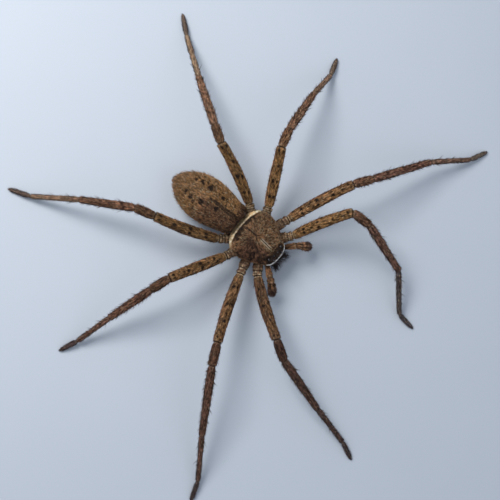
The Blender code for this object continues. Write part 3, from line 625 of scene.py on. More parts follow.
# %% [markdown]
# ## Markings
#
# The same markings colour the skin and every hair that grows from it, so each is a function of a place: how
# dark, how pale, and which ground colour, from golden brown at 0 through red brown to the blackish feet at
# 1. A pale value above 1 turns from cream to white. The spots of the legs stand in loose pairs on the thighs
# and shins.


# %% Marks of the legs
def blend(low, high, value):
    """0 below low, 1 above high and a smooth step between."""
    t = np.clip((value - low) / (high - low), 0.0, 1.0)
    return t * t * (3.0 - 2.0 * t)


# Spots on the thigh and shin: share of the way along, degrees round from the front side over the top, radius
THIGH_SPOTS = [
    (0.21, 64, 0.34), (0.22, 112, 0.38), (0.46, 60, 0.36), (0.47, 114, 0.4),
    (0.71, 84, 0.36), (0.95, 66, 0.26), (0.95, 112, 0.3), (0.34, 12, 0.26),
    (0.6, 12, 0.26), (0.47, 172, 0.28), (0.34, 92, 0.16), (0.84, 110, 0.18),
]
SHIN_SPOTS = [(0.2, 52, 0.22), (0.24, 128, 0.22), (0.6, 58, 0.18), (0.62, 124, 0.18)]
# Size of a leg's spots, as the front legs of the right side have the smallest
SPOT_SIZES = {("left", 1): 0.76, ("left", 2): 0.8, ("left", 3): 0.84, ("left", 4): 0.92,
              ("right", 1): 0.7, ("right", 2): 0.76, ("right", 3): 0.9, ("right", 4): 0.92}
# Ground of the coxa, thigh, knee piece, shin, metatarsus and tarsus, for pairs 2 to 4 and for pair 1
GROUND_BY_PART = (0.25, 0.06, 0.3, 0.42, 0.5, 0.8)
GROUND_FIRST = {"left": (0.25, 0.06, 0.42, 0.6, 0.97, 1.0), "right": (0.32, 0.27, 0.5, 0.68, 0.8, 0.97)}
# How far the ground of a whole leg is shifted towards red brown, as painted shade on legs that lie more in
# shade
LEG_PAINTED_SHADE_SHIFT = {("left", 2): 0.1, ("right", 2): 0.12, ("right", 3): 0.06}
# Painted shade of the thigh, of the knee piece and of all beyond it, for each leg
LEG_PAINTED_SHADES = {
    ("left", 1): (0.12, 0.46, 0.07), ("left", 2): (0.06, 0.28, 0.0),
    ("left", 3): (0.12, 0.24, 0.0), ("left", 4): (0.38, 0.56, 0.0),
    ("right", 1): (0.5, 0.74, 0.46), ("right", 2): (0.28, 0.54, 0.32),
    ("right", 3): (0.12, 0.52, 0.12), ("right", 4): (0.44, 0.6, 0.1),
}
# Painted shade on every coxa, which lies under the body
COXA_PAINTED_SHADE = 0.5
# Pale share on the shin, metatarsus and tarsus: partly pale hair tips, partly painted light
PALE_TIPS_AND_PAINTED_LIGHT = {("left", 1): (0.0, 0.03, 0.0), ("left", 2): (0.0, 0.08, 0.15), ("left", 3): (0.05, 0.2, 0.22),
         ("left", 4): (0.06, 0.3, 0.1), ("right", 4): (0.0, 0.2, 0.05)}
# Rings at the joints: joint, share of the way to it, millimetres beyond, how dark and how pale at its edges
JOINT_RINGS = [
    (1, 0.55, 0.0, 0.8, 0.5), (1, 0.735, 0.0, 1.0, 1.15), (1, 1.0, 0.0, 1.0, 1.25), (1, 1.0, 0.55, 0.6, 0.5),
    (2, 1.0, 0.0, 1.0, 0.35), (3, 1.0, 0.0, 0.9, 0.2), (4, 1.0, 0.0, 0.7, 0.15), (5, 1.0, 0.0, 0.5, 0.1),
]
DARK_RING_HALF = 0.13
PALE_RING_AWAY = 0.24
PALE_RING_HALF = 0.09
# How much longer than wide a spot is, and the thickness that turns an angle round the leg into a distance
SPOT_STRETCH = 1.15
LEG_RADIUS = 1.05


def leg_spots(name, draw):
    """Spots of a leg as rows of distance along it, turn round it and radius."""
    rows = []
    for part, plan in ((1, THIGH_SPOTS), (3, SHIN_SPOTS)):
        start, end = LEGS[name][2][part:part + 2]
        for share, degrees, size in plan:
            around = math.radians(degrees + draw.uniform(-7.0, 7.0))
            around = around if name[0] == "left" else math.pi - around
            at = start + (end - start) * (share + draw.uniform(-0.012, 0.012))
            rows.append((at, around, size * draw.uniform(0.85, 1.2) * SPOT_SIZES[name]))
    return rows


LEG_SPOTS = {name: leg_spots(name, np.random.default_rng(40 + k)) for k, name in enumerate(LEG_NAMES)}


def by_part(levels, stations, at):
    """One level for each part of a leg, with a smooth step of a millimetre at each joint."""
    value = levels[0] + 0.0 * at
    for low, high, station in zip(levels, levels[1:], stations[1:]):
        value = value + (high - low) * blend(station - 0.5, station + 0.5, at)
    return value


def leg_marks(name, at, turn):
    """Marks at distances along a leg and turns round it."""
    stations = LEGS[name][2]
    flat = np.zeros(np.broadcast(at, turn).shape)
    # Painted shade, part by part: on the coxa, the knee piece and the legs that lie more in shade
    thigh, knee, shin = LEG_PAINTED_SHADES[name]
    shade = by_part((COXA_PAINTED_SHADE, thigh, knee, shin, shin, shin), stations, at)
    # Pale hair tips and painted light on the shin and foot of some legs
    pale_tips_and_light = by_part((0.0, 0.0, 0.0, *PALE_TIPS_AND_PAINTED_LIGHT.get(name, (0.0, 0.0, 0.0))), stations, at)
    dark, pale = flat, flat
    levels = GROUND_FIRST[name[0]] if name[1] == 1 else GROUND_BY_PART
    # The ground of some whole legs is shifted darker here as painted shade
    ground = by_part(levels, stations, at) + LEG_PAINTED_SHADE_SHIFT.get(name, 0.0) + flat
    for place, around, size in LEG_SPOTS[name]:
        gap = ((turn - around + math.pi) % TURN - math.pi) * LEG_RADIUS
        square = ((at - place) / (SPOT_STRETCH * size)) ** 2 + (gap / size) ** 2
        dark = np.maximum(dark, blend(1.2, 0.85, np.sqrt(square)))
    for k, (joint, share, beyond, dark_share, pale_share) in enumerate(JOINT_RINGS):
        gap = np.abs(at - share * stations[joint] - beyond)
        broken = 0.6 + 0.4 * np.cos(4.0 * turn + 2.3 * k)
        dark = np.maximum(dark, dark_share * np.exp(-(gap / DARK_RING_HALF) ** 4))
        beside = np.exp(-((gap - PALE_RING_AWAY) / PALE_RING_HALF) ** 2)
        pale = np.maximum(pale, pale_share * broken * beside)
    # Painted shade: both sides of the upper half of a leg are darker, and more so near its root, where the
    # round leg turns from the light; the ground there is shifted towards red brown too
    edge = blend(0.74, 0.98, np.abs(np.cos(turn))) * blend(-0.2, 0.1, np.sin(turn))
    base = blend(stations[1] + 0.8, stations[1] - 0.3, at)
    shade = np.maximum(shade, (0.42 + 0.4 * base) * edge) * (1.0 - 0.8 * np.minimum(pale, 1.0))
    pale = np.maximum(pale, pale_tips_and_light) * (1.0 - dark)
    return np.stack([np.maximum(dark, shade), pale, np.clip(ground + 0.3 * edge, 0.0, 1.0)], axis=-1)


def ring_turns(grid):
    """Turn of every column of a grid."""
    return np.linspace(0.0, TURN, grid.shape[1], endpoint=False)[None, :]


def mean_mark(marks, kind):
    """Mean of the dark (0), pale (1) or ground (2) values of an array of marks."""
    return round(float(marks[..., kind].mean()), 3)


LEG_MARKS = {name: leg_marks(name, LEGS[name][1][:, None], ring_turns(LEGS[name][0]))
             for name in LEG_NAMES}
print("leg marks: mean dark", [mean_mark(marks, 0) for marks in LEG_MARKS.values()])

# %% Marks of the shield
SHIELD_LOOP = smooth_loop(SHIELD_OUTLINE, 400)
LOOP_ANGLES = np.arctan2(SHIELD_LOOP[:, 1], SHIELD_LOOP[:, 0])
LOOP_REACH = np.linalg.norm(SHIELD_LOOP, axis=1)
# Fans of fine streaks on both sides of the fovea: from, to and half width, on the left
STREAKS = [
    ((0.5, 1.5), (2.6, -2.9), 0.13), ((0.8, 1.7), (4.3, -1.2), 0.11), ((0.8, 2.0), (4.6, 0.4), 0.11),
    ((0.7, 2.4), (4.3, 2.3), 0.11), ((0.6, 2.8), (3.2, 3.7), 0.11), ((0.9, 0.6), (3.4, -2.3), 0.08),
    ((1.4, 1.3), (4.5, -0.5), 0.07), ((1.6, 2.1), (4.5, 1.4), 0.07),
]
# Blackish smudges in front of the pale rear edge: across, along and radius
SMUDGES = [
    (0.76, 4.0, 0.52), (1.6, 3.8, 0.46), (-0.72, 3.85, 0.52),
    (-1.75, 3.8, 0.55), (2.5, 3.4, 0.36), (-2.7, 3.3, 0.42),
]
# The fovea and its fork: from, to and half width; and the dark line between the two pale ones: from and to
FOVEA_LINES = [((0.08, 3.4), (0.08, 1.1), 0.17), ((0.08, 1.1), (0.5, 0.5), 0.12),
               ((0.08, 1.1), (-0.36, 0.55), 0.12)]
TWIN_LINE = ((0.14, 0.1), (0.05, -3.0))


def shield_marks(places):
    """Marks on the front body: fovea, streaks, twin pale lines, cream rear, dark eyes, white front edge."""
    x, y, z = places[..., 0], places[..., 1], places[..., 2]
    angle = np.arctan2(y, x)
    share = np.hypot(x, y) / np.interp(angle, LOOP_ANGLES, LOOP_REACH, period=TURN)
    dark = np.zeros_like(x)
    pale = np.zeros_like(x)
    for start, end, wide in FOVEA_LINES:
        gap, _ = line_distance(x, y, start, end)
        dark = np.maximum(dark, np.exp(-(gap / wide) ** 4))
    for start, end, wide in STREAKS:
        gap, along = line_distance(np.abs(x), y, start, end)
        dark = np.maximum(dark, (0.65 - 0.4 * along) * np.exp(-(gap / wide) ** 2))
    gap, along = line_distance(x, y, *TWIN_LINE)
    ends = blend(0.0, 0.15, along) * blend(1.0, 0.85, along)
    dark = np.maximum(dark, ends * np.exp(-(gap / 0.1) ** 4))
    pale = np.maximum(pale, 1.4 * ends * np.exp(-((gap - 0.19) / 0.085) ** 4))
    rear = blend(3.0, 3.8, y)
    inner = 0.83 + 0.137 * blend(4.8, 3.2, y) + 0.009 * np.cos(24.0 * angle)
    cream = rear * blend(inner - 0.008, inner + 0.008, share)
    bright = np.maximum(blend(inner + 0.08, inner + 0.04, share), blend(4.5, 4.0, y))
    glow = 0.5 + (0.72 + 0.42 * np.cos(48.0 * angle)) * bright
    dark = np.maximum(dark, rear * np.exp(-((share - inner + 0.08) / 0.075) ** 4))
    for spot_x, spot_y, size in SMUDGES:
        dark = np.maximum(dark, np.exp(-(((x - spot_x) ** 2 + (y - spot_y) ** 2) / size ** 2) ** 2))
    dark = dark * (1.0 - cream)
    pale = np.maximum(pale * (1.0 - dark), glow * cream)
    field = blend(-3.35, -3.7, y - 0.12 * np.abs(x)) * blend(2.75, 2.3, np.abs(x))
    front = blend(0.967, 0.977, share) * blend(-4.1, -4.5, y)
    dark = np.maximum(dark, 0.92 * field) * (1.0 - front)
    pale = np.maximum(pale * (1.0 - field), 2.0 * front)
    cheek = blend(-0.2, -1.8, x) * blend(3.0, 0.5, y) * blend(1.02, 0.9, share)
    dark = np.maximum(dark, (0.47 + 0.22 * cheek) * (1.0 - cream) * (1.0 - front))
    ground = (0.26 + 0.15 * cheek) * (1.0 - cream)
    top = blend(5.2, 5.45, z)
    return np.stack([dark * top, pale * top, ground * top + 0.12 * (1.0 - top)], axis=-1)


SHIELD_MARKS = shield_marks(SHIELD)
print("shield marks: mean dark", mean_mark(SHIELD_MARKS, 0), "and pale", mean_mark(SHIELD_MARKS, 1))


# %% Marks of the abdomen and palps
# The heart stripe: from and to
HEART_LINE = ((-0.1, 5.9), (-0.78, 11.9))


def abdomen_marks(places):
    """Marks on the abdomen: sigilla, the heart stripe, a dark front edge and a darker right flank."""
    x, y, z = places[..., 0], places[..., 1], places[..., 2]
    back = blend(4.6, 6.0, z)
    dark = np.zeros_like(x)
    for dot_x, dot_y, radius in SIGILLA:
        wave = 1.0 + 0.14 * np.cos(3.0 * np.arctan2(y - dot_y, x - dot_x) + 7.0 * dot_x)
        dark = np.maximum(dark, blend(1.2, 0.88, np.hypot(x - dot_x, y - dot_y) / (radius * wave)))
    gap, along = line_distance(x, y, *HEART_LINE)
    across = gap / (0.55 - 0.3 * along)
    dark = np.maximum(dark, (0.84 + 0.16 * blend(0.5, 0.75, across)) * blend(1.15, 0.95, across))
    ends = blend(0.02, 0.12, along) * blend(0.98, 0.6, along)
    edge = np.exp(-((gap - 0.56 + 0.3 * along) / 0.1) ** 2) * ends
    flank = blend(-0.5, -1.4, x + 0.08 * (y - 9.0)) * blend(15.8, 12.4, y - 0.4 * (x + 2.0))
    # Dark front edge, where the abdomen faces the shield: partly darker hair, partly painted shade in the
    # gap between the two halves
    front = blend(6.7, 6.0, y + 0.1 * np.abs(x)) * 0.9
    tip = 0.12 * blend(16.5, 18.5, y)
    dark = np.maximum(np.maximum(dark, 0.54 * flank), np.maximum(front, 0.33 + tip)) * back
    dark = np.maximum(dark, 0.45 * (1.0 - back) * blend(3.6, 4.4, z))
    pale = 0.2 * edge * back * (1.0 - dark)
    return np.stack([dark, pale, 0.1 + 0.22 * flank + 0.1 * (1.0 - back)], axis=-1)


def palp_marks(side, at, turn):
    """Marks on a palp: a pale and a dark ring at each joint and a dark, brushy tip."""
    stations = PALPS[side][2]
    dark = np.zeros(np.broadcast(at, turn).shape)
    pale = np.zeros_like(dark)
    for station in stations[1:-1]:
        dark = np.maximum(dark, 0.85 * np.exp(-((at - station) / 0.1) ** 4))
        pale = np.maximum(pale, 0.5 * np.exp(-((at - station + 0.24) / 0.1) ** 2))
    tip = blend(stations[4] - 0.1, stations[4] + 0.5, at)
    stripe = np.exp(-((np.abs(np.sin(turn - 0.5 * math.pi)) - 0.45) / 0.16) ** 2)
    dark = np.maximum(np.maximum(dark, 0.15 + 0.25 * tip), 0.75 * stripe)
    ground = 0.3 + 0.25 * tip + 0.0 * turn
    return np.stack([dark, pale * (1.0 - dark), ground], axis=-1)


ABDOMEN_MARKS = abdomen_marks(ABDOMEN)
PALP_MARKS = {side: palp_marks(side, away[:, None], ring_turns(grid))
              for side, (grid, away, _) in PALPS.items()}
SMALL_MARK = (0.3, 0.0, 0.4)
print("abdomen marks: mean dark", mean_mark(ABDOMEN_MARKS, 0), "and pale", mean_mark(ABDOMEN_MARKS, 1))

# %% [markdown]
# ## One skin
#
# The shells run into each other: coxae into the breast, the stalk into both halves, palps into the mouth
# plates. A Boolean union with the manifold solver joins them into one closed skin in well under a second,
# and carries the marks on the points across.


# %% Union of the shells
def plain_object(name, mesh, collection):
    """An object in a collection, for the union only."""
    thing = bpy.data.objects.new(name, mesh)
    collection.objects.link(thing)
    return thing


def union(meshes):
    """One mesh from closed, overlapping ones."""
    base = plain_object("base", meshes[0], bpy.context.scene.collection)
    others = bpy.data.collections.new("others")
    bpy.context.scene.collection.children.link(others)
    for mesh in meshes[1:]:
        plain_object("other", mesh, others)
    join = base.modifiers.new("join", "BOOLEAN")
    join.operation = "UNION"
    join.solver = "MANIFOLD"
    join.operand_type = "COLLECTION"
    join.collection = others
    graph = bpy.context.evaluated_depsgraph_get()
    result = bpy.data.meshes.new_from_object(base.evaluated_get(graph))
    for thing in [base, *others.objects]:
        bpy.data.objects.remove(thing, do_unlink=True)
    bpy.data.collections.remove(others)
    return result


def make_skin():
    """Every shell of the spider in one closed mesh."""
    shells = [shell("front", SHIELD, SHIELD_MARKS), shell("abdomen", ABDOMEN, ABDOMEN_MARKS)]
    shells += [shell("leg", LEGS[name][0], LEG_MARKS[name]) for name in LEG_NAMES]
    shells += [shell("palp", PALPS[side][0], PALP_MARKS[side]) for side in PALPS]
    shells += [shell("small", grid, np.broadcast_to(SMALL_MARK, grid.shape)) for grid in SMALL_FORMS]
    total = sum(len(mesh.polygons) for mesh in shells)
    skin = union(shells)
    print("skin:", len(shells), "shells,", total, "faces before the union and", len(skin.polygons), "after")
    return skin


SKIN = make_skin()

# %% [markdown]
# ## Finishes
#
# A huntsman's colours come from its hairs more than from its skin: every hair is golden, brown, cream or
# nearly black, and the eye mixes them. One node group turns the three marks and a random grain into a
# colour, and both the skin and the hairs use it, so the pattern runs through both. A second group makes the
# fine lengthwise grain and pits of the skin as a height for a Bump node.

# %% Colours, in linear values
GOLD = (0.308, 0.17, 0.066)
RED_BROWN = (0.21, 0.104, 0.07)
BLACK_BROWN = (0.066, 0.056, 0.064)
DARK_MARK = (0.008, 0.005, 0.0045)
CREAM = (0.72, 0.6, 0.4)
WHITE = (0.86, 0.85, 0.84)
# Weights of red, green and blue in the brightness that the eye sees
EYE_WEIGHTS = (0.2126, 0.7152, 0.0722)
for colour in (GOLD, RED_BROWN, BLACK_BROWN, DARK_MARK, CREAM, WHITE):
    print("colour", colour, "has a brightness of", round(float(np.dot(colour, EYE_WEIGHTS)), 3))


# %% Node helpers
def new_group(name, inputs, outputs):
    """An empty shader group with named sockets: inputs are (name, kind, value), outputs (name, kind)."""
    group = bpy.data.node_groups.new(name, "ShaderNodeTree")
    for label, kind, value in inputs:
        socket = group.interface.new_socket(label, in_out="INPUT", socket_type=kind)
        if value is not None:
            socket.default_value = value
    for label, kind in outputs:
        group.interface.new_socket(label, in_out="OUTPUT", socket_type=kind)
    return group, group.nodes.new("NodeGroupInput"), group.nodes.new("NodeGroupOutput")


def math_node(tree, operation, first, second=None, clamp=False):
    """A Math node; each input is a number or a socket."""
    node = tree.nodes.new("ShaderNodeMath")
    node.operation = operation
    node.use_clamp = clamp
    for slot, value in enumerate((first, second)):
        if isinstance(value, (int, float)):
            node.inputs[slot].default_value = value
        elif value is not None:
            tree.links.new(value, node.inputs[slot])
    return node.outputs[0]


def range_node(tree, value, low, high, to_low, to_high):
    """A Map Range node from one span of numbers to another, held at its ends."""
    node = tree.nodes.new("ShaderNodeMapRange")
    for label, number in (("From Min", low), ("From Max", high), ("To Min", to_low), ("To Max", to_high)):
        node.inputs[label].default_value = number
    tree.links.new(value, node.inputs["Value"])
    return node.outputs[0]


def mix_node(tree, share, first, second, blend_type="MIX"):
    """A colour Mix node; each input is a value or a socket."""
    node = tree.nodes.new("ShaderNodeMix")
    node.data_type = "RGBA"
    node.blend_type = blend_type
    for slot, value in ((0, share), (6, first), (7, second)):
        if isinstance(value, (int, float)):
            node.inputs[slot].default_value = value
        elif isinstance(value, tuple):
            node.inputs[slot].default_value = (*value, 1.0)
        else:
            tree.links.new(value, node.inputs[slot])
    return node.outputs[2]


def noise_node(tree, where, scale, detail=3.0, roughness=0.6):
    """A Noise Texture read at a place socket."""
    node = tree.nodes.new("ShaderNodeTexNoise")
    node.inputs["Scale"].default_value = scale
    node.inputs["Detail"].default_value = detail
    node.inputs["Roughness"].default_value = roughness
    tree.links.new(where, node.inputs["Vector"])
    return node.outputs["Fac"]


# %% The colour group
def make_colour_group():
    """Marks and grain in, colour out: ground ramp, brightened by the grain, then pale and dark marks."""
    group, start, end = new_group(
        "spider_colour",
        [("Marks", "NodeSocketVector", None), ("Grain", "NodeSocketFloat", 0.4),
         ("Mottle", "NodeSocketFloat", 0.5)],
        [("Color", "NodeSocketColor")],
    )
    parts = group.nodes.new("ShaderNodeSeparateXYZ")
    group.links.new(start.outputs["Marks"], parts.inputs[0])
    ramp = group.nodes.new("ShaderNodeValToRGB")
    stops = ramp.color_ramp.elements
    stops[0].position, stops[0].color = 0.0, (*GOLD, 1.0)
    stops[1].position, stops[1].color = 1.0, (*BLACK_BROWN, 1.0)
    stops.new(0.5).color = (*RED_BROWN, 1.0)
    group.links.new(parts.outputs[2], ramp.inputs[0])
    grain = start.outputs["Grain"]
    lift = range_node(group, grain, 0.0, 1.0, 0.08, 2.4)
    bright = mix_node(group, 1.0, ramp.outputs[0], lift, "MULTIPLY")
    patch = range_node(group, start.outputs["Mottle"], 0.35, 0.65, 0.82, 1.12)
    mottled = mix_node(group, 1.0, bright, patch, "MULTIPLY")
    shine = range_node(group, grain, 0.0, 0.6, 0.55, 1.0)
    pale_share = math_node(group, "MULTIPLY", parts.outputs[1], shine, True)
    paled = mix_node(group, pale_share, mottled, CREAM)
    white_share = math_node(group, "SUBTRACT", parts.outputs[1], 1.0, True)
    whitened = mix_node(group, white_share, paled, WHITE)
    dark_share = math_node(group, "MULTIPLY", parts.outputs[0], 0.97, True)
    group.links.new(mix_node(group, dark_share, whitened, DARK_MARK), end.inputs["Color"])
    return group


COLOUR_GROUP = make_colour_group()
print("colour group:", len(COLOUR_GROUP.nodes), "nodes")


# %% The relief group
# Scales of the noises, in waves per metre
PIT_SCALE = 9000.0
FOLD_SCALE = 1400.0
MOTTLE_SCALE = 520.0


def make_relief_group():
    """Fine pits and soft folds in the skin as one height, and a broader noise for the colour."""
    group, start, end = new_group(
        "skin_relief",
        [("Place", "NodeSocketVector", None), ("Fine", "NodeSocketFloat", 0.6)],
        [("Height", "NodeSocketFloat"), ("Mottle", "NodeSocketFloat")],
    )
    pits = noise_node(group, start.outputs["Place"], PIT_SCALE)
    folds = noise_node(group, start.outputs["Place"], FOLD_SCALE, detail=4.0)
    mottle = noise_node(group, start.outputs["Place"], MOTTLE_SCALE, detail=4.0, roughness=0.65)
    fine = math_node(group, "MULTIPLY", pits, start.outputs["Fine"])
    group.links.new(math_node(group, "ADD", fine, folds), end.inputs["Height"])
    group.links.new(mottle, end.inputs["Mottle"])
    return group


RELIEF_GROUP = make_relief_group()
print("relief group:", len(RELIEF_GROUP.nodes), "nodes")


# %% Materials of skin and hair
def start_material(name, roughness, specular=0.5):
    """A material with its Principled shader and constant values on the shader's own sockets."""
    material = bpy.data.materials.new(name)
    material.use_nodes = True
    shader = material.node_tree.nodes["Principled BSDF"]
    shader.inputs["Roughness"].default_value = roughness
    shader.inputs["Specular IOR Level"].default_value = specular
    return material, material.node_tree, shader


def attribute(tree, name, output):
    """A socket of a value kept on the mesh's points."""
    node = tree.nodes.new("ShaderNodeAttribute")
    node.attribute_name = name
    return node.outputs[output]


def place_socket(tree):
    """Object coordinates, which here are the place in the model."""
    return tree.nodes.new("ShaderNodeTexCoord").outputs["Object"]


def use_group(tree, group, **links):
    """A group node with its inputs linked or set."""
    node = tree.nodes.new("ShaderNodeGroup")
    node.node_tree = group
    for label, value in links.items():
        if isinstance(value, (int, float)):
            node.inputs[label].default_value = value
        else:
            tree.links.new(value, node.inputs[label])
    return node


def add_bump(tree, shader, height, distance, strength=1.0):
    """A Bump node between a height and the shader's normal."""
    bump = tree.nodes.new("ShaderNodeBump")
    bump.inputs["Distance"].default_value = distance * MM
    bump.inputs["Strength"].default_value = strength
    tree.links.new(height, bump.inputs["Height"])
    tree.links.new(bump.outputs["Normal"], shader.inputs["Normal"])


def make_skin_material():
    """Satin skin under the coat, darker than the hairs."""
    material, tree, shader = start_material("spider_skin", roughness=0.55, specular=0.2)
    relief = use_group(tree, RELIEF_GROUP, Place=place_socket(tree), Fine=0.6)
    colour = use_group(tree, COLOUR_GROUP, Marks=attribute(tree, "marks", "Vector"), Grain=0.2,
                       Mottle=relief.outputs["Mottle"])
    tree.links.new(colour.outputs["Color"], shader.inputs["Base Color"])
    add_bump(tree, shader, relief.outputs["Height"], distance=0.03)
    return material


def make_hair_material(name, roughness):
    """Short stiff hairs, each with its own grain."""
    material, tree, shader = start_material(name, roughness, specular=0.12)
    relief = use_group(tree, RELIEF_GROUP, Place=place_socket(tree), Fine=0.2)
    colour = use_group(tree, COLOUR_GROUP, Marks=attribute(tree, "marks", "Vector"),
                       Grain=attribute(tree, "grain", "Fac"), Mottle=relief.outputs["Mottle"])
    tree.links.new(colour.outputs["Color"], shader.inputs["Base Color"])
    return material


SKIN_MATERIAL = make_skin_material()
HAIR_MATERIAL = make_hair_material("spider_hair", 0.5)
print("groups:", [group.name for group in bpy.data.node_groups])


# %% Materials of eyes, jaws, fangs, claws and spines
def make_hard_material(name, low, high, roughness, scale, coat=0.0):
    """Polished horn or a lens: two close colours mixed by a soft noise."""
    material, tree, shader = start_material(name, roughness)
    shade = noise_node(tree, place_socket(tree), scale)
    tree.links.new(mix_node(tree, shade, low, high), shader.inputs["Base Color"])
    shader.inputs["Coat Weight"].default_value = coat
    shader.inputs["Coat Roughness"].default_value = 0.05
    add_bump(tree, shader, shade, distance=0.01, strength=0.4)
    return material


EYE_MATERIAL = make_hard_material("eye_lens", (0.003, 0.003, 0.005), (0.012, 0.01, 0.01),
                                  roughness=0.1, scale=900.0, coat=0.05)
JAW_MATERIAL = make_hard_material("jaw_horn", (0.012, 0.006, 0.006), (0.05, 0.02, 0.014),
                                  roughness=0.38, scale=1500.0, coat=0.1)
FANG_MATERIAL = make_hard_material("fang_horn", (0.008, 0.004, 0.003), (0.045, 0.012, 0.006),
                                   roughness=0.16, scale=1200.0, coat=0.5)
SPINE_MATERIAL = make_hard_material("spine_horn", (0.01, 0.007, 0.006), (0.035, 0.02, 0.014),
                                    roughness=0.4, scale=2500.0)
print("materials:", [material.name for material in bpy.data.materials])

# %% [markdown]
# ## The skin in place
#
# The skin stands for every solid of flesh, so those are hidden and no gap shows at a joint.

# %% Place the skin
LEG_NODES = [f"leg_{side}_{pair}_{part}" for side, pair in LEG_NAMES
             for part in ("coxa", "femur", "tibia", "foot")]
PALP_NODES = [f"palp_{side}_{part}" for side in ("left", "right") for part in ("femur", "tip")]
BODY_NODES = ["carapace", "sternum", "labium", "pedicel", "abdomen", "spinnerets",
              "maxilla_left", "maxilla_right"]
add_piece("skin", SKIN, SKIN_MATERIAL, LEG_NODES + PALP_NODES + BODY_NODES)
print("the skin stands for", len(LEG_NODES + PALP_NODES + BODY_NODES), "solids")

# %% [markdown]
# ## Eyes, jaws and fangs
#
# Eight eyes in two rows look out from the dark field at the front of the shield. Each is a glossy bead set
# half deep. The jaws are stout, curved cylinders that hang under the front rim, and each folds a black fang
# in behind its tip.


# %% Eyes
BEAD_ROWS = 14
BEAD_COLUMNS = 20
BEAD_END = 0.06


def bead(centre, radius):
    """A ball as a closed grid: radius * (sin a cos b, sin a sin b, cos a)."""
    a = np.linspace(BEAD_END, math.pi - BEAD_END, BEAD_ROWS)[:, None]
    b = np.linspace(0.0, TURN, BEAD_COLUMNS, endpoint=False)[None, :]
    ball = np.stack([np.sin(a) * np.cos(b), np.sin(a) * np.sin(b), np.cos(a) * np.ones_like(b)], axis=-1)
    return centre + radius * ball


for name in ("front_mid", "front_side", "rear_mid", "rear_side"):
    for side in ("left", "right"):
        low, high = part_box(f"eye_{name}_{side}")
        middle = np.array((low + high) / 2) / MM - BODY_AT
        radius = (high - low).x / MM / 2
        eye = shell("eye", bead(middle, radius))
        add_piece(f"{name}_eye_{side}", eye, EYE_MATERIAL, [f"eye_{name}_{side}"])
print("eyes: 8, last one", round(radius * 2, 2), "mm across")

# %% Jaws and fangs
JAW_TOP = np.array([0.98, -4.65, 5.75])
JAW_TIP = np.array([1.02, -5.22, 2.72])
JAW_PROFILE = [(0.0, 0.5, 0.5), (0.06, 0.7, 0.7), (0.2, 0.8, 0.82), (0.45, 0.84, 0.86), (0.7, 0.82, 0.82),
               (0.9, 0.7, 0.72), (1.0, 0.6, 0.64)]
FANG_ROOT = np.array([1.1, -5.36, 2.75])
FANG_BEND = np.array([1.16, -5.22, 2.02])
FANG_POINT = np.array([0.45, -4.45, 1.85])
FANG_PROFILES = [[(0.0, 0.4, 0.42), (0.5, 0.38, 0.4)],
                 [(0.0, 0.32, 0.33), (0.6, 0.22, 0.23), (1.0, 0.12, 0.12)]]
JAW_SIDES = 36
JAW_STEP = 0.12
FANG_SIDES = 20
FANG_STEP = 0.08
JAWS = {}
for side, sign in (("left", 1.0), ("right", -1.0)):
    flip = np.array([sign, 1.0, 1.0])
    JAWS[side] = limb_grid([JAW_TOP * flip, JAW_TIP * flip], [JAW_PROFILE], JAW_SIDES, JAW_STEP, tip=0.45)[0]
    add_piece(f"jaw_{side}", shell("jaw", JAWS[side]), JAW_MATERIAL, [f"chelicera_{side}"])
    fang, _, stations = limb_grid([FANG_ROOT * flip, FANG_BEND * flip, FANG_POINT * flip], FANG_PROFILES,
                                  FANG_SIDES, FANG_STEP, tip=0.3, nip=0.0, reach=0.5, coat=0.05)
    add_piece(f"{side}_fang", shell("fang", fang), FANG_MATERIAL, [f"fang_{side}"])
print("each fang is", round(float(stations[-1]), 2), "mm long")

# %% [markdown]
# ## Many small spikes from arrays
#
# Hairs, bristles, spines and claws are all the same form: a thin cone along a bent line. One function makes
# thousands of them at once from arrays of roots, headings, lengths and widths. A hair needs only ten
# triangles, and a spine that may be seen close up gets more sides and rings. The roots come from the
# surface itself: cells of its grid are drawn in proportion to their area, then a random spot inside each.


# %% Places on a grid
def scatter(grid, count, draw, density=None):
    """Random places on a closed grid as fractional rows and columns: P(cell) ~ area * density."""
    across = np.roll(grid, -1, axis=1) - grid
    along = np.diff(grid, axis=0)
    area = np.linalg.norm(np.cross(across[:-1], along), axis=-1)
    if density is not None:
        area = area * density[:-1]
    chance = np.cumsum(area.ravel())
    cells = np.searchsorted(chance / chance[-1], draw.random(count))
    row, column = np.divmod(np.clip(cells, 0, area.size - 1), grid.shape[1])
    return row + draw.random(count), column + draw.random(count)


def sample(values, row, column):
    """Values of a grid between its points: the mean of four corners weighted by nearness."""
    row = np.clip(row, 0.0, values.shape[0] - 1.001)
    r, c = row.astype(int), column.astype(int)
    u, v = row - r, column - c
    c = c % values.shape[1]
    d = (c + 1) % values.shape[1]
    if values.ndim == 3:
        u, v = u[:, None], v[:, None]
    low = values[r, c] * (1 - v) + values[r, d] * v
    high = values[r + 1, c] * (1 - v) + values[r + 1, d] * v
    return low * (1 - u) + high * u


def grid_normals(grid):
    """Outward direction at each point of a closed grid: the cross product of its two differences."""
    across = np.roll(grid, -1, axis=1) - np.roll(grid, 1, axis=1)
    along = np.gradient(grid, axis=0)
    normal = unit(np.cross(across, along))
    centre = grid.mean(axis=1, keepdims=True)
    outward = np.sum(normal * (grid - centre), axis=-1)
    return normal if outward.sum() > 0 else -normal


# %% Spikes
# Sides, shares of the length where a ring lies, and the width of each ring
HAIR_SHAPE = (3, (0.0, 0.5), (1.0, 0.8))
SPINE_SHAPE = (7, (0.0, 0.2, 0.45, 0.7, 0.9), (1.0, 0.95, 0.75, 0.5, 0.25))
ROOT_SUNK = 0.06


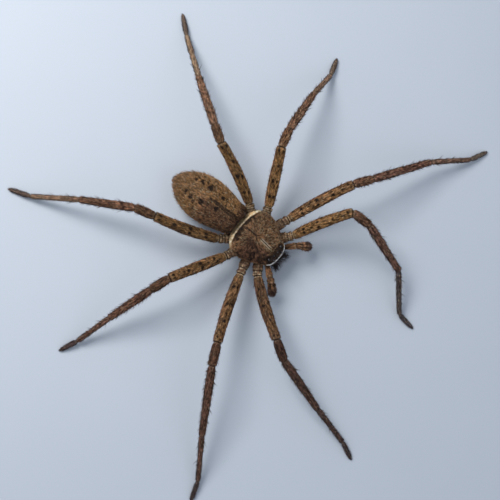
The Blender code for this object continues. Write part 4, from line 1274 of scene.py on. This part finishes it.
def spikes(roots, first, last, lengths, widths, shape):
    """Curved spikes, all at once, with the faces of each.

    The middle line of each is (1-t)^2 root + 2t(1-t) elbow + t^2 tip, and its rings have shape's widths.
    """
    sides, shares, taper = shape
    elbow = roots + first * (lengths / 2.0)[:, None]
    tip = elbow + last * (lengths / 2.0)[:, None]
    side = unit(np.cross(first, (0.31, 0.17, 0.93)))
    turn = np.linspace(0.0, TURN, sides, endpoint=False)[None, :, None]
    rings = []
    for t, wide in zip(shares, taper):
        centre = (1.0 - t) ** 2 * roots + 2.0 * t * (1.0 - t) * elbow + t ** 2 * tip
        centre = centre - first * (ROOT_SUNK if t == 0.0 else 0.0)
        lift = unit(np.cross(side, (1.0 - t) * first + t * last))
        radius = (widths / 2.0 * wide)[:, None, None]
        ring = np.cos(turn) * side[:, None, :] + np.sin(turn) * lift[:, None, :]
        rings.append(centre[:, None, :] + radius * ring)
    points = np.concatenate([*rings, tip[:, None, :]], axis=1)
    ring = np.arange(sides)
    after = (ring + 1) % sides
    bands = np.concatenate([np.column_stack([ring, after, after + sides, ring + sides]) + k * sides
                            for k in range(len(shares) - 1)])
    last_ring = (len(shares) - 1) * sides
    cap = np.column_stack([np.zeros(sides - 2, dtype=int), ring[2:], ring[1:-1]])
    point = np.column_stack([last_ring + ring, last_ring + after, np.full(sides, len(shares) * sides)])
    one = [bands, np.vstack([cap, point])]
    if volume(points[0], one) < 0.0:
        one = [group[:, ::-1] for group in one]
    start = (np.arange(len(roots)) * points.shape[1])[:, None, None]
    return points, [(start + group[None, :, :]).reshape(-1, group.shape[1]) for group in one]


PATCH = 0.003


def patch_map(mesh, places, shape):
    """The map for baking: each spike is a small patch at its root's place on the unwrapped surface."""
    sides, shares, _ = shape
    across = np.tile(np.arange(sides) / (sides - 1) - 0.5, len(shares))
    own = np.column_stack([np.append(across, 0.0), np.append(np.repeat(shares, sides), 1.0)]) * PATCH
    corners = (places[:, None, :] + own[None, :, :]).reshape(-1, 2)
    index = np.zeros(len(mesh.loops), dtype=np.int32)
    mesh.loops.foreach_get("vertex_index", index)
    layer = mesh.uv_layers.new(name="OFBake")
    layer.data.foreach_set("uv", corners[index].astype(np.float32).ravel())


LOWEST = 0.02
# Shares of a hair's length at which its marks are read, one for each of its two rings and one for its tip
MARK_SHARES = (0.1, 0.5, 0.9)
TRIANGLES = []


def spike_piece(name, batches, material, shape=HAIR_SHAPE):
    """One piece made of batches of spikes; every batch is a dictionary of arrays."""
    joined = {key: np.concatenate([batch[key] for batch in batches]) for key in batches[0]}
    points, faces = spikes(*(joined[key] for key in ("roots", "first", "last", "lengths", "widths")), shape)
    count, each = points.shape[:2]
    points = points.reshape(-1, 3)
    points[:, 2] = np.maximum(points[:, 2], LOWEST)
    values = {}
    if "marks" in joined:
        values["marks"] = np.repeat(joined["marks"], (3, 3, 1), axis=1).reshape(-1, 3)
        values["grain"] = np.repeat(joined["grain"], each)
    mesh = new_mesh(name, points, faces, values)
    patch_map(mesh, joined["places"], shape)
    add_piece(name, mesh, material)
    TRIANGLES.append(sum(len(group) * (group.shape[1] - 2) for group in faces))
    print(f"{name}: {count} spikes, {TRIANGLES[-1]} triangles")


RISE_SPREAD = 7.0
RISE_LIMITS = (8.0, 88.0)


def comb(normals, row, column, lie, rise, spread, draw, droop=0.35):
    """Headings of hairs: along the lie, lifted off the skin by rise degrees, with a random spread.

    The outer half's lift is the inner half's times droop, so that a hair curves down to lie along the body.
    """
    normal = unit(sample(normals, row, column))
    way = unit(lie - np.sum(lie * normal, axis=1, keepdims=True) * normal)
    across = np.cross(normal, way)
    swing = np.radians(draw.normal(0.0, spread, len(row)))[:, None]
    way = way * np.cos(swing) + across * np.sin(swing)
    first = np.radians(np.clip(rise + draw.normal(0.0, RISE_SPREAD, len(row)), *RISE_LIMITS))[:, None]
    last = first * droop
    return way * np.cos(first) + normal * np.sin(first), way * np.cos(last) + normal * np.sin(last)


# %% Grain of the hairs
OWN_GRAIN = 0.7
DARK_ENOUGH = 0.6


def lattice_noise(places, draw, size=24):
    """Smooth random values from 0 to 1: random numbers on a lattice, blended between the eight corners."""
    table = draw.random((size, size, size))
    cell = np.floor(places).astype(int)
    share = blend(0.0, 1.0, places - cell)
    total = np.zeros(len(places))
    for corner in np.ndindex(2, 2, 2):
        weight = np.prod(np.where(corner, share, 1.0 - share), axis=1)
        index = (cell + corner) % size
        total += weight * table[index[:, 0], index[:, 1], index[:, 2]]
    return total


def grains(places, draw, strength, middle):
    """Grain of each hair: clumps of neighbours share part of it, and each adds some of its own."""
    clump = (lattice_noise(places, draw) - 0.5) * strength
    return np.clip(middle + clump + (draw.random(len(places)) - 0.5) * OWN_GRAIN, 0.0, 1.0)


def fleck(batch, draw, share, pale):
    """Turn a random share of a batch's hairs pale, but for those that grow from a dark mark."""
    chosen = draw.random(len(batch["grain"])) < share
    light = (chosen[:, None] & (batch["marks"][..., 0] < DARK_ENOUGH)) * pale
    batch["marks"][..., 1] = np.maximum(batch["marks"][..., 1], light)
    return batch


def paint(batch, mark):
    """Give every hair of a batch one and the same mark."""
    batch["marks"] = np.broadcast_to(mark, (len(batch["roots"]), len(MARK_SHARES), 3))
    return batch


# %% A batch of hairs
# Spread of the widths within a batch
WIDTH_SPREAD = (0.8, 1.25)
# Start and stretch on the map of a whole surface, and of the left and the right one of a pair
MAP_START = 0.02
MAP_SPAN = 0.95
SIDE_STRIPS = {"left": (0.02, 0.46), "right": (0.52, 0.46)}


def rows_way(grid, row, column):
    """Headings along a grid's path, towards its last ring."""
    return unit(sample(np.gradient(grid, axis=0), row, column))


def on_map(along, around, start=MAP_START, span=MAP_SPAN):
    """Places on the map, from the shares of the way along and round a surface."""
    return np.column_stack([MAP_START + MAP_SPAN * along, start + span * around])


def all_round(along, grid):
    """Values along a grid's rows repeated for all its columns."""
    return along[:, None] * np.ones(grid.shape[1])


def grow(grid, draw, count, rise, lengths, density=None, lie=None, spread=14.0, droop=0.35, sign=1.0):
    """A batch's roots, headings and lengths, and the row and column of each root.

    The hairs lie along the grid's path, or against it where sign is -1, or along lie(roots).
    """
    row, column = scatter(grid, count, draw, density)
    roots = sample(grid, row, column)
    way = sign * rows_way(grid, row, column) if lie is None else lie(roots)
    first, last = comb(grid_normals(grid), row, column, way, rise, spread, draw, droop)
    batch = {"roots": roots, "first": first, "last": last, "lengths": draw.uniform(*lengths, count)}
    return batch, row, column


def dress(batch, draw, width, marks_at, streak, strength, middle):
    """Add widths, marks and grain; marks_at gives the marks at a share of each hair's length."""
    batch["widths"] = width * draw.uniform(*WIDTH_SPREAD, len(batch["roots"]))
    batch["marks"] = np.stack([marks_at(share) for share in MARK_SHARES], axis=1)
    batch["grain"] = grains(streak, draw, strength, middle)


print("hair tools: marks are read at", MARK_SHARES, "of each hair's length")

# %% [markdown]
# ## The coat of the legs
#
# The hairs are about half a millimetre long and lie along the legs towards the feet. Neighbours share their
# shade in narrow streaks, which gives the fine salt and pepper of the real coat. The marks are read again
# near the root, at the middle and near the tip of each hair, so that the spots stay crisp. Coarser hairs,
# one in nine, lie among the rest.


# %% Coat of the legs
# Share of the hairs whose pale marks are brightened, what these and the others are multiplied by, and a top
GLINT_SHARE = 0.35
GLINTS = (2.0, 0.45)
MOST_PALE = 1.3


def leg_hairs(name, draw, count, rise, lengths, width, density, strength=1.5, middle=0.4):
    """A batch of hairs over one leg, shorter at the joints and on the foot; a third glint where pale."""
    grid, away, stations = LEGS[name]
    batch, row, column = grow(grid, draw, count, rise, lengths, density, spread=9.0)
    at = np.interp(row, np.arange(len(away)), away)
    turn = column / grid.shape[1] * TURN
    foot = blend(stations[4] - 1.0, stations[5], at)
    joint_gap = np.abs(at[:, None] - stations[None, 1:6]).min(axis=1)
    batch["lengths"] = batch["lengths"] * (1.0 - 0.35 * foot) * (0.55 + 0.45 * blend(0.05, 0.6, joint_gap))
    reach = batch["lengths"] * math.cos(math.radians(rise))
    streak = np.column_stack([(at + 0.5 * reach) / 0.6, np.cos(turn) * 7.0, np.sin(turn) * 7.0])
    glint = np.where(draw.random(count) < GLINT_SHARE, *GLINTS)
    dress(batch, draw, width, lambda share: leg_marks(name, at + share * reach, turn), streak, strength,
          middle)
    batch["marks"][..., 1] *= glint[:, None]
    batch["marks"] = np.minimum(batch["marks"], MOST_PALE)
    batch["widths"] *= 1.0 - 0.25 * foot
    batch["places"] = on_map(at / away[-1], column / grid.shape[1])
    return batch


def leg_coat(name, seed):
    """Fine and coarse hairs of one leg."""
    grid, away, stations = LEGS[name]
    draw = np.random.default_rng(seed)
    along = np.where(away > stations[1] - 0.6, 1.0, 0.6) + 0.8 * blend(stations[4], stations[5], away)
    density = all_round(along, grid)
    fine = leg_hairs(name, draw, count=9800, rise=20.0, lengths=(0.42, 0.68), width=0.062, density=density,
                     strength=1.8)
    coarse = leg_hairs(name, draw, count=1200, rise=24.0, lengths=(0.5, 0.75), width=0.085, density=density,
                       strength=1.2, middle=0.5)
    return [fine, fleck(coarse, draw, share=0.3, pale=0.5)]


for k, name in enumerate(LEG_NAMES):
    spike_piece(f"coat_leg_{name[0]}_{name[1]}", leg_coat(name, 100 + k), HAIR_MATERIAL)

# %% [markdown]
# ## The coat of the body
#
# On the abdomen the hairs lie back towards the spinnerets, and some stand out as a short fringe. On the
# shield they fan out from the fovea. Two narrow bands are denser: the cream edge at the rear, and the white
# edge under the eyes. Dark tufts close the gap between the two halves of the body: partly dark hair,
# partly painted shade.


# %% Coat of the abdomen
def abdomen_hairs(draw, count, rise, lengths, width, density=None, strength=1.4, middle=0.42, sign=1.0):
    """A batch of hairs over the abdomen; sign is 1 for hairs that lie backwards and -1 for forwards."""
    batch, row, column = grow(ABDOMEN, draw, count, rise, lengths, density, sign=sign)
    roots = batch["roots"]
    reach = sign * rows_way(ABDOMEN, row, column) * (0.9 * batch["lengths"])[:, None]
    streak = (roots + 0.5 * reach) / (0.2, 0.32, 0.25)
    dress(batch, draw, width, lambda share: abdomen_marks(roots + share * reach), streak, strength, middle)
    batch["places"] = on_map(row / ABDOMEN_ROWS, column / ABDOMEN_SIDES)
    return batch


def abdomen_coat(seed):
    """Fine and coarse hairs, a fringe that stands out, and dark tufts over the front edge."""
    draw = np.random.default_rng(seed)
    share = np.arange(ABDOMEN_ROWS) / ABDOMEN_ROWS
    plain = 1.0 - blend(0.4, 0.8, ABDOMEN_MARKS[..., 0])
    rear = all_round(0.1 + blend(0.45, 0.95, share), ABDOMEN)
    front = all_round(blend(0.24, 0.12, share) * blend(0.0, 0.03, share), ABDOMEN)
    left_front = front * blend(0.6, 1.6, ABDOMEN[..., 0])
    fine = abdomen_hairs(draw, count=13700, rise=24.0, lengths=(0.34, 0.56), width=0.066, strength=1.6)
    coarse = abdomen_hairs(draw, count=2000, rise=26.0, lengths=(0.35, 0.55), width=0.08, density=plain,
                           strength=1.3, middle=0.5)
    fringe = abdomen_hairs(draw, count=1200, rise=58.0, lengths=(0.6, 1.05), width=0.06, density=rear)
    # Dark tufts over the front edge: dark hair that also paints the shade in the gap behind the shield
    dark_hair_and_shade_tufts = abdomen_hairs(draw, count=1400, rise=22.0, lengths=(0.6, 0.95), width=0.08, density=front,
                          strength=1.2, middle=0.3, sign=-1.0)
    corner = abdomen_hairs(draw, count=700, rise=22.0, lengths=(0.9, 1.4), width=0.08, density=left_front,
                           strength=1.2, middle=0.3, sign=-1.0)
    coarse = fleck(coarse, draw, share=0.4, pale=1.1)
    fringe = paint(fringe, (0.3, 0.15, 0.3))
    return [fine, coarse, fringe, paint(dark_hair_and_shade_tufts, (0.7, 0.0, 0.35)), paint(corner, (0.5, 0.0, 0.35))]


spike_piece("coat_abdomen", abdomen_coat(210), HAIR_MATERIAL)

# %% Coat of the front body
FAN_CENTRE = np.array([0.0, 1.2, 0.0])
RIM_ROW = len(SHIELD_SHARES)


def fan_out(roots):
    """Headings that fan out from the fovea and lean a little backwards."""
    return unit(unit((roots - FAN_CENTRE) * (1.0, 1.0, 0.0)) + (0.0, 0.3, 0.0))


def shield_hairs(draw, count, rise, lengths, width, density, strength=1.5, middle=0.4, spread=24.0):
    """A batch of hairs over the front body, in streaks that fan out too."""
    batch, row, column = grow(SHIELD, draw, count, rise, lengths, density, fan_out, spread)
    roots = batch["roots"]
    reach = batch["first"] * (0.9 * batch["lengths"])[:, None] * (1.0, 1.0, 0.0)
    x, y, z = (roots + 0.5 * reach).T
    around = np.arctan2(x - FAN_CENTRE[0], FAN_CENTRE[1] - y)
    streak = np.column_stack([around / 0.09, np.hypot(x, y) / 0.26, z / 0.5])
    dress(batch, draw, width, lambda share: shield_marks(roots + share * reach), streak, strength, middle)
    batch["places"] = on_map(row / SHIELD.shape[0], column / SHIELD_SIDES)
    return batch


def shield_rows(first, after):
    """1 for the rows of the front body from first up to before after, and 0 for the rest."""
    row = np.arange(SHIELD.shape[0])
    return all_round(1.0 * (row >= first) * (row < after), SHIELD)


def shield_coat(seed):
    """Fine and coarse hairs, the dense bands of the cream and white edges, dark tufts behind the shield."""
    draw = np.random.default_rng(seed)
    y = SHIELD[..., 1]
    dark, pale = SHIELD_MARKS[..., 0], SHIELD_MARKS[..., 1]
    above = shield_rows(0, RIM_ROW + 3)
    eyes = blend(-3.4, -3.9, y) * above
    most = (0.3 + 0.7 * above) * (1.0 - 0.6 * eyes)
    plain = above * ((1.0 - blend(0.35, 0.7, dark)) * blend(0.9, 0.6, pale)) * (1.0 - eyes)
    edge = shield_rows(RIM_ROW - 2, RIM_ROW + 2) * blend(-4.15, -4.5, y)
    rim = shield_rows(RIM_ROW + 1, RIM_ROW + 4) * blend(3.6, 4.2, y)
    fine = shield_hairs(draw, count=10900, rise=25.0, lengths=(0.3, 0.5), width=0.064, density=most,
                        strength=2.6, middle=0.36)
    coarse = shield_hairs(draw, count=2300, rise=28.0, lengths=(0.35, 0.55), width=0.08, density=plain,
                          strength=1.6, middle=0.5, spread=34.0)
    band = shield_hairs(draw, count=2200, rise=24.0, lengths=(0.18, 0.3), width=0.07,
                        density=1.0 * (pale > 0.7), strength=0.5, middle=0.75)
    line = shield_hairs(draw, count=900, rise=74.0, lengths=(0.2, 0.27), width=0.08, density=edge,
                        strength=0.2, middle=0.8)
    # Dark tufts under the rear rim: dark hair that also paints the shade in the gap before the abdomen
    dark_hair_and_shade_tufts = shield_hairs(draw, count=1500, rise=12.0, lengths=(0.6, 0.95), width=0.075, density=rim,
                         strength=1.2, middle=0.3)
    coarse = fleck(coarse, draw, share=0.35, pale=0.95)
    return [fine, coarse, band, paint(line, (0.0, 2.0, 0.0)), paint(dark_hair_and_shade_tufts, (0.8, 0.0, 0.4))]


spike_piece("coat_front_body", shield_coat(220), HAIR_MATERIAL)


# %% Coat of the palps
def palp_hairs(side, draw, count, rise, lengths, width, density=None):
    """A batch of hairs over one palp."""
    grid, away, _ = PALPS[side]
    batch, row, column = grow(grid, draw, count, rise, lengths, density)
    at = np.interp(row, np.arange(len(away)), away)
    turn = column / grid.shape[1] * TURN
    reach = 0.9 * batch["lengths"]
    streak = np.column_stack([(at + 0.4 * batch["lengths"]) / 0.6, np.cos(turn) * 3.2, np.sin(turn) * 3.2])
    dress(batch, draw, width, lambda share: palp_marks(side, at + share * reach, turn), streak, 1.5, 0.4)
    batch["places"] = on_map(at / away[-1], column / grid.shape[1], *SIDE_STRIPS[side])
    return batch


def palp_coat(side, seed):
    """Hairs of a palp, longest round its brushy tip."""
    grid, away, stations = PALPS[side]
    draw = np.random.default_rng(seed)
    brush = all_round(0.15 + blend(stations[3] - 0.2, stations[4], away), grid)
    fine = palp_hairs(side, draw, count=2600, rise=26.0, lengths=(0.4, 0.65), width=0.06)
    stiff = palp_hairs(side, draw, count=300, rise=48.0, lengths=(0.6, 0.95), width=0.06, density=brush)
    return [fine, paint(stiff, (0.5, 0.0, 0.6))]


spike_piece("coat_palps", palp_coat("left", 230) + palp_coat("right", 231), HAIR_MATERIAL)

# %% Coat of the mouth parts, stalk and spinnerets
SMALL_HAIRS = 220
SMALL_SPAN = 0.06


def small_hairs(grid, draw, start):
    """Short hairs along one small form; start is where its strip of the map begins."""
    batch, row, column = grow(grid, draw, SMALL_HAIRS, rise=22.0, lengths=(0.3, 0.55))
    batch["widths"] = draw.uniform(0.04, 0.06, SMALL_HAIRS)
    batch["grain"] = draw.random(SMALL_HAIRS)
    batch["places"] = on_map(row / len(grid), column / grid.shape[1], start, SMALL_SPAN)
    return paint(batch, SMALL_MARK)


draw = np.random.default_rng(235)
starts = MAP_START + np.arange(len(SMALL_FORMS)) * MAP_SPAN / len(SMALL_FORMS)
small_coats = [small_hairs(grid, draw, start) for grid, start in zip(SMALL_FORMS, starts)]
spike_piece("coat_small_parts", small_coats, HAIR_MATERIAL)

# %% [markdown]
# ## Bristles, pads, spines and claws
#
# Black bristles stand out in front of the jaws. Thin ones stand up along the shins and feet. Under each foot
# a dense pad of short dark hairs, the scopula, lets the huntsman walk up walls, and two small claws sit at
# its tip. The spines are the stout dark pegs of thighs, shins and feet.


# %% Bristles of the jaws
JAW_HAIR_WIDTH = 0.055


def jaw_hairs(side, draw, count, rise, lengths, mark):
    """Hairs over one jaw, most on its front, pointing forward, outward and a little down."""
    grid = JAWS[side]
    forward = -grid_normals(grid)[..., 1]
    density = (0.15 + blend(-0.2, 0.5, forward)) * blend(5.4, 4.6, grid[..., 2])
    outward = 0.3 if side == "left" else -0.3
    batch, row, column = grow(grid, draw, count, rise, lengths, density,
                              lambda roots: np.broadcast_to((outward, -0.9, -0.25), roots.shape),
                              spread=30.0, droop=0.7)
    batch["widths"] = JAW_HAIR_WIDTH * draw.uniform(*WIDTH_SPREAD, count)
    batch["grain"] = draw.uniform(0.0, 0.9, count)
    batch["places"] = on_map(row / len(grid), column / grid.shape[1], *SIDE_STRIPS[side])
    return paint(batch, mark)


jaw_coats = []
for k, side in enumerate(JAWS):
    draw = np.random.default_rng(240 + k)
    jaw_coats.append(jaw_hairs(side, draw, count=750, rise=20.0, lengths=(0.18, 0.3), mark=(0.6, 0.0, 0.8)))
    jaw_coats.append(jaw_hairs(side, draw, count=190, rise=48.0, lengths=(1.2, 2.3), mark=(0.85, 0.0, 0.9)))
spike_piece("coat_jaws", jaw_coats, HAIR_MATERIAL)


# %% Bristles of the legs and pads under the feet
def leg_bristles(name, seed):
    """Short dark bristles that stand off the shin and foot, and a few on the thigh."""
    grid, away, stations = LEGS[name]
    along = 0.2 * blend(stations[1], stations[1] + 1.0, away) + blend(stations[2], stations[3], away)
    batch = leg_hairs(name, np.random.default_rng(seed), count=850, rise=60.0, lengths=(0.55, 1.0),
                      width=0.07, density=all_round(along, grid))
    return paint(batch, (0.65, 0.0, 0.6))


def foot_pad(name, seed):
    """Short dense hairs under the outer half of the metatarsus and all of the tarsus."""
    grid, away, stations = LEGS[name]
    along = blend(stations[4] + 3.0, stations[5], away) + 0.8 * blend(stations[6] - 0.7, stations[6], away)
    below = blend(0.35, -0.3, np.sin(ring_turns(grid)))
    batch = leg_hairs(name, np.random.default_rng(seed), count=1000, rise=46.0, lengths=(0.75, 1.05),
                      width=0.06, density=along[:, None] * below, strength=0.6, middle=0.35)
    return paint(batch, (0.2, 0.0, 0.9))


bristles = [leg_bristles(name, 300 + k) for k, name in enumerate(LEG_NAMES)]
spike_piece("coat_bristles", bristles, HAIR_MATERIAL)
pads = [foot_pad(name, 400 + k) for k, name in enumerate(LEG_NAMES)]
spike_piece("coat_foot_pads", pads, HAIR_MATERIAL)

# %% Spines and claws
# Share of the way along the part and degrees round it from the front side over the top
THIGH_SPINES = [(0.3, 55), (0.36, 122), (0.62, 50), (0.68, 128), (0.85, 88)]
SHIN_SPINES = [(0.22, 22), (0.28, 156), (0.6, 26), (0.66, 152),
               (0.2, 250), (0.22, 290), (0.62, 248), (0.64, 292)]
FOOT_SPINES = [(0.14, 28), (0.2, 150), (0.52, 152), (0.16, 245), (0.18, 295)]
CLAW_LENGTH = 0.62
CLAW_WIDTH = 0.11


def leg_spines(name, seed):
    """Dark tapered spines of one leg, leaning towards the foot."""
    grid, away, stations = LEGS[name]
    draw = np.random.default_rng(seed)
    plan = []
    for part, rows in ((1, THIGH_SPINES), (3, SHIN_SPINES), (4, FOOT_SPINES)):
        for share, degrees in rows:
            around = degrees if name[0] == "left" else 180 - degrees
            plan.append((stations[part] + share * (stations[part + 1] - stations[part]), around % 360))
    at, around = np.array(plan).T
    row = np.interp(at, away, np.arange(len(away)))
    column = around / 360.0 * grid.shape[1]
    way = rows_way(grid, row, column)
    first, last = comb(grid_normals(grid), row, column, way, rise=56.0, spread=6.0, draw=draw, droop=0.5)
    return {
        "roots": sample(grid, row, column), "first": first, "last": last,
        "lengths": draw.uniform(1.1, 1.5, len(at)), "widths": draw.uniform(0.11, 0.14, len(at)),
        "places": on_map(at / away[-1], around / 360.0),
    }


def claws(name):
    """Two small curved claws at the tip of a foot."""
    grid = LEGS[name][0]
    tip = grid[-1].mean(axis=0)
    head = unit(tip - grid[-8].mean(axis=0))
    spread = np.array([[-1.0], [1.0]]) * unit(np.cross(head, (0.0, 0.0, 1.0)))
    return {
        "roots": tip - head * 0.15 + spread * 0.13 + (0.0, 0.0, 0.06),
        "first": unit(head + 0.3 * spread + (0.0, 0.0, 0.45)),
        "last": unit(head + 0.2 * spread - (0.0, 0.0, 0.6)),
        "lengths": np.full(2, CLAW_LENGTH), "widths": np.full(2, CLAW_WIDTH),
        "places": np.array([(0.2, 0.2), (0.8, 0.2)]),
    }


spines = [leg_spines(name, 500 + k) for k, name in enumerate(LEG_NAMES)]
spike_piece("spines", spines, SPINE_MATERIAL, SPINE_SHAPE)
spike_piece("foot_claws", [claws(name) for name in LEG_NAMES], FANG_MATERIAL, SPINE_SHAPE)
print("spikes of all kinds:", sum(TRIANGLES), "triangles")

# %% [markdown]
# ## Floor and light
#
# The floor is plain and pale. A soft lamp behind the spider, at the picture's upper left, throws the
# shadows towards the lower right as in the photograph. A weak lamp and a pale sky fill them.

# %% Floor
FLOOR_SIZE = 1200.0
FLOOR_NOISE_SCALE = 30.0
FLOOR_COLOURS = ((0.36, 0.405, 0.475), (0.38, 0.425, 0.495))


def make_floor():
    """A wide pale sheet just under the feet."""
    corners = np.array([(-1, -1, 0), (1, -1, 0), (1, 1, 0), (-1, 1, 0)]) * FLOOR_SIZE / 2
    mesh = new_mesh("floor", corners, [np.array([[0, 1, 2, 3]])])
    material, tree, shader = start_material("floor_paint", roughness=0.6, specular=0.3)
    shade = noise_node(tree, place_socket(tree), FLOOR_NOISE_SCALE)
    tree.links.new(mix_node(tree, shade, *FLOOR_COLOURS), shader.inputs["Base Color"])
    mesh.materials.append(material)
    floor = bpy.data.objects.new("floor", mesh)
    bpy.context.scene.collection.objects.link(floor)


make_floor()
print("floor:", FLOOR_SIZE / 1000, "m wide")


# %% Light
def make_lamp(name, direction, distance, size, power, colour):
    """A square soft lamp that shines on the middle of the model."""
    lamp = bpy.data.lights.new(name, "AREA")
    lamp.size = size * MM
    lamp.energy = power
    lamp.color = colour
    thing = bpy.data.objects.new(name, lamp)
    place = Vector(unit(direction) * distance * MM)
    thing.matrix_world = Matrix.Translation(place) @ place.to_track_quat("Z", "Y").to_matrix().to_4x4()
    bpy.context.scene.collection.objects.link(thing)


SKY_COLOUR = (0.86, 0.92, 1.0)
SKY_STRENGTH = 0.62


def make_light():
    """Key lamp, weak fill and sky."""
    key = 0.75 * PICTURE_UP - 0.55 * PICTURE_RIGHT + 1.1 * PICTURE_BACK
    make_lamp("key", key, distance=260.0, size=110.0, power=0.78, colour=(1.0, 0.96, 0.9))
    fill = -0.4 * PICTURE_UP + 0.7 * PICTURE_RIGHT + 0.8 * PICTURE_BACK
    make_lamp("fill", fill, distance=600.0, size=400.0, power=0.4, colour=(0.95, 0.97, 1.0))
    sky = bpy.data.worlds.new("sky")
    sky.use_nodes = True
    background = sky.node_tree.nodes["Background"]
    background.inputs["Color"].default_value = (*SKY_COLOUR, 1.0)
    background.inputs["Strength"].default_value = SKY_STRENGTH
    bpy.context.scene.world = sky
    bpy.context.scene.view_settings.view_transform = "Standard"


make_light()
print("lamps:", [lamp.name for lamp in bpy.data.lights])
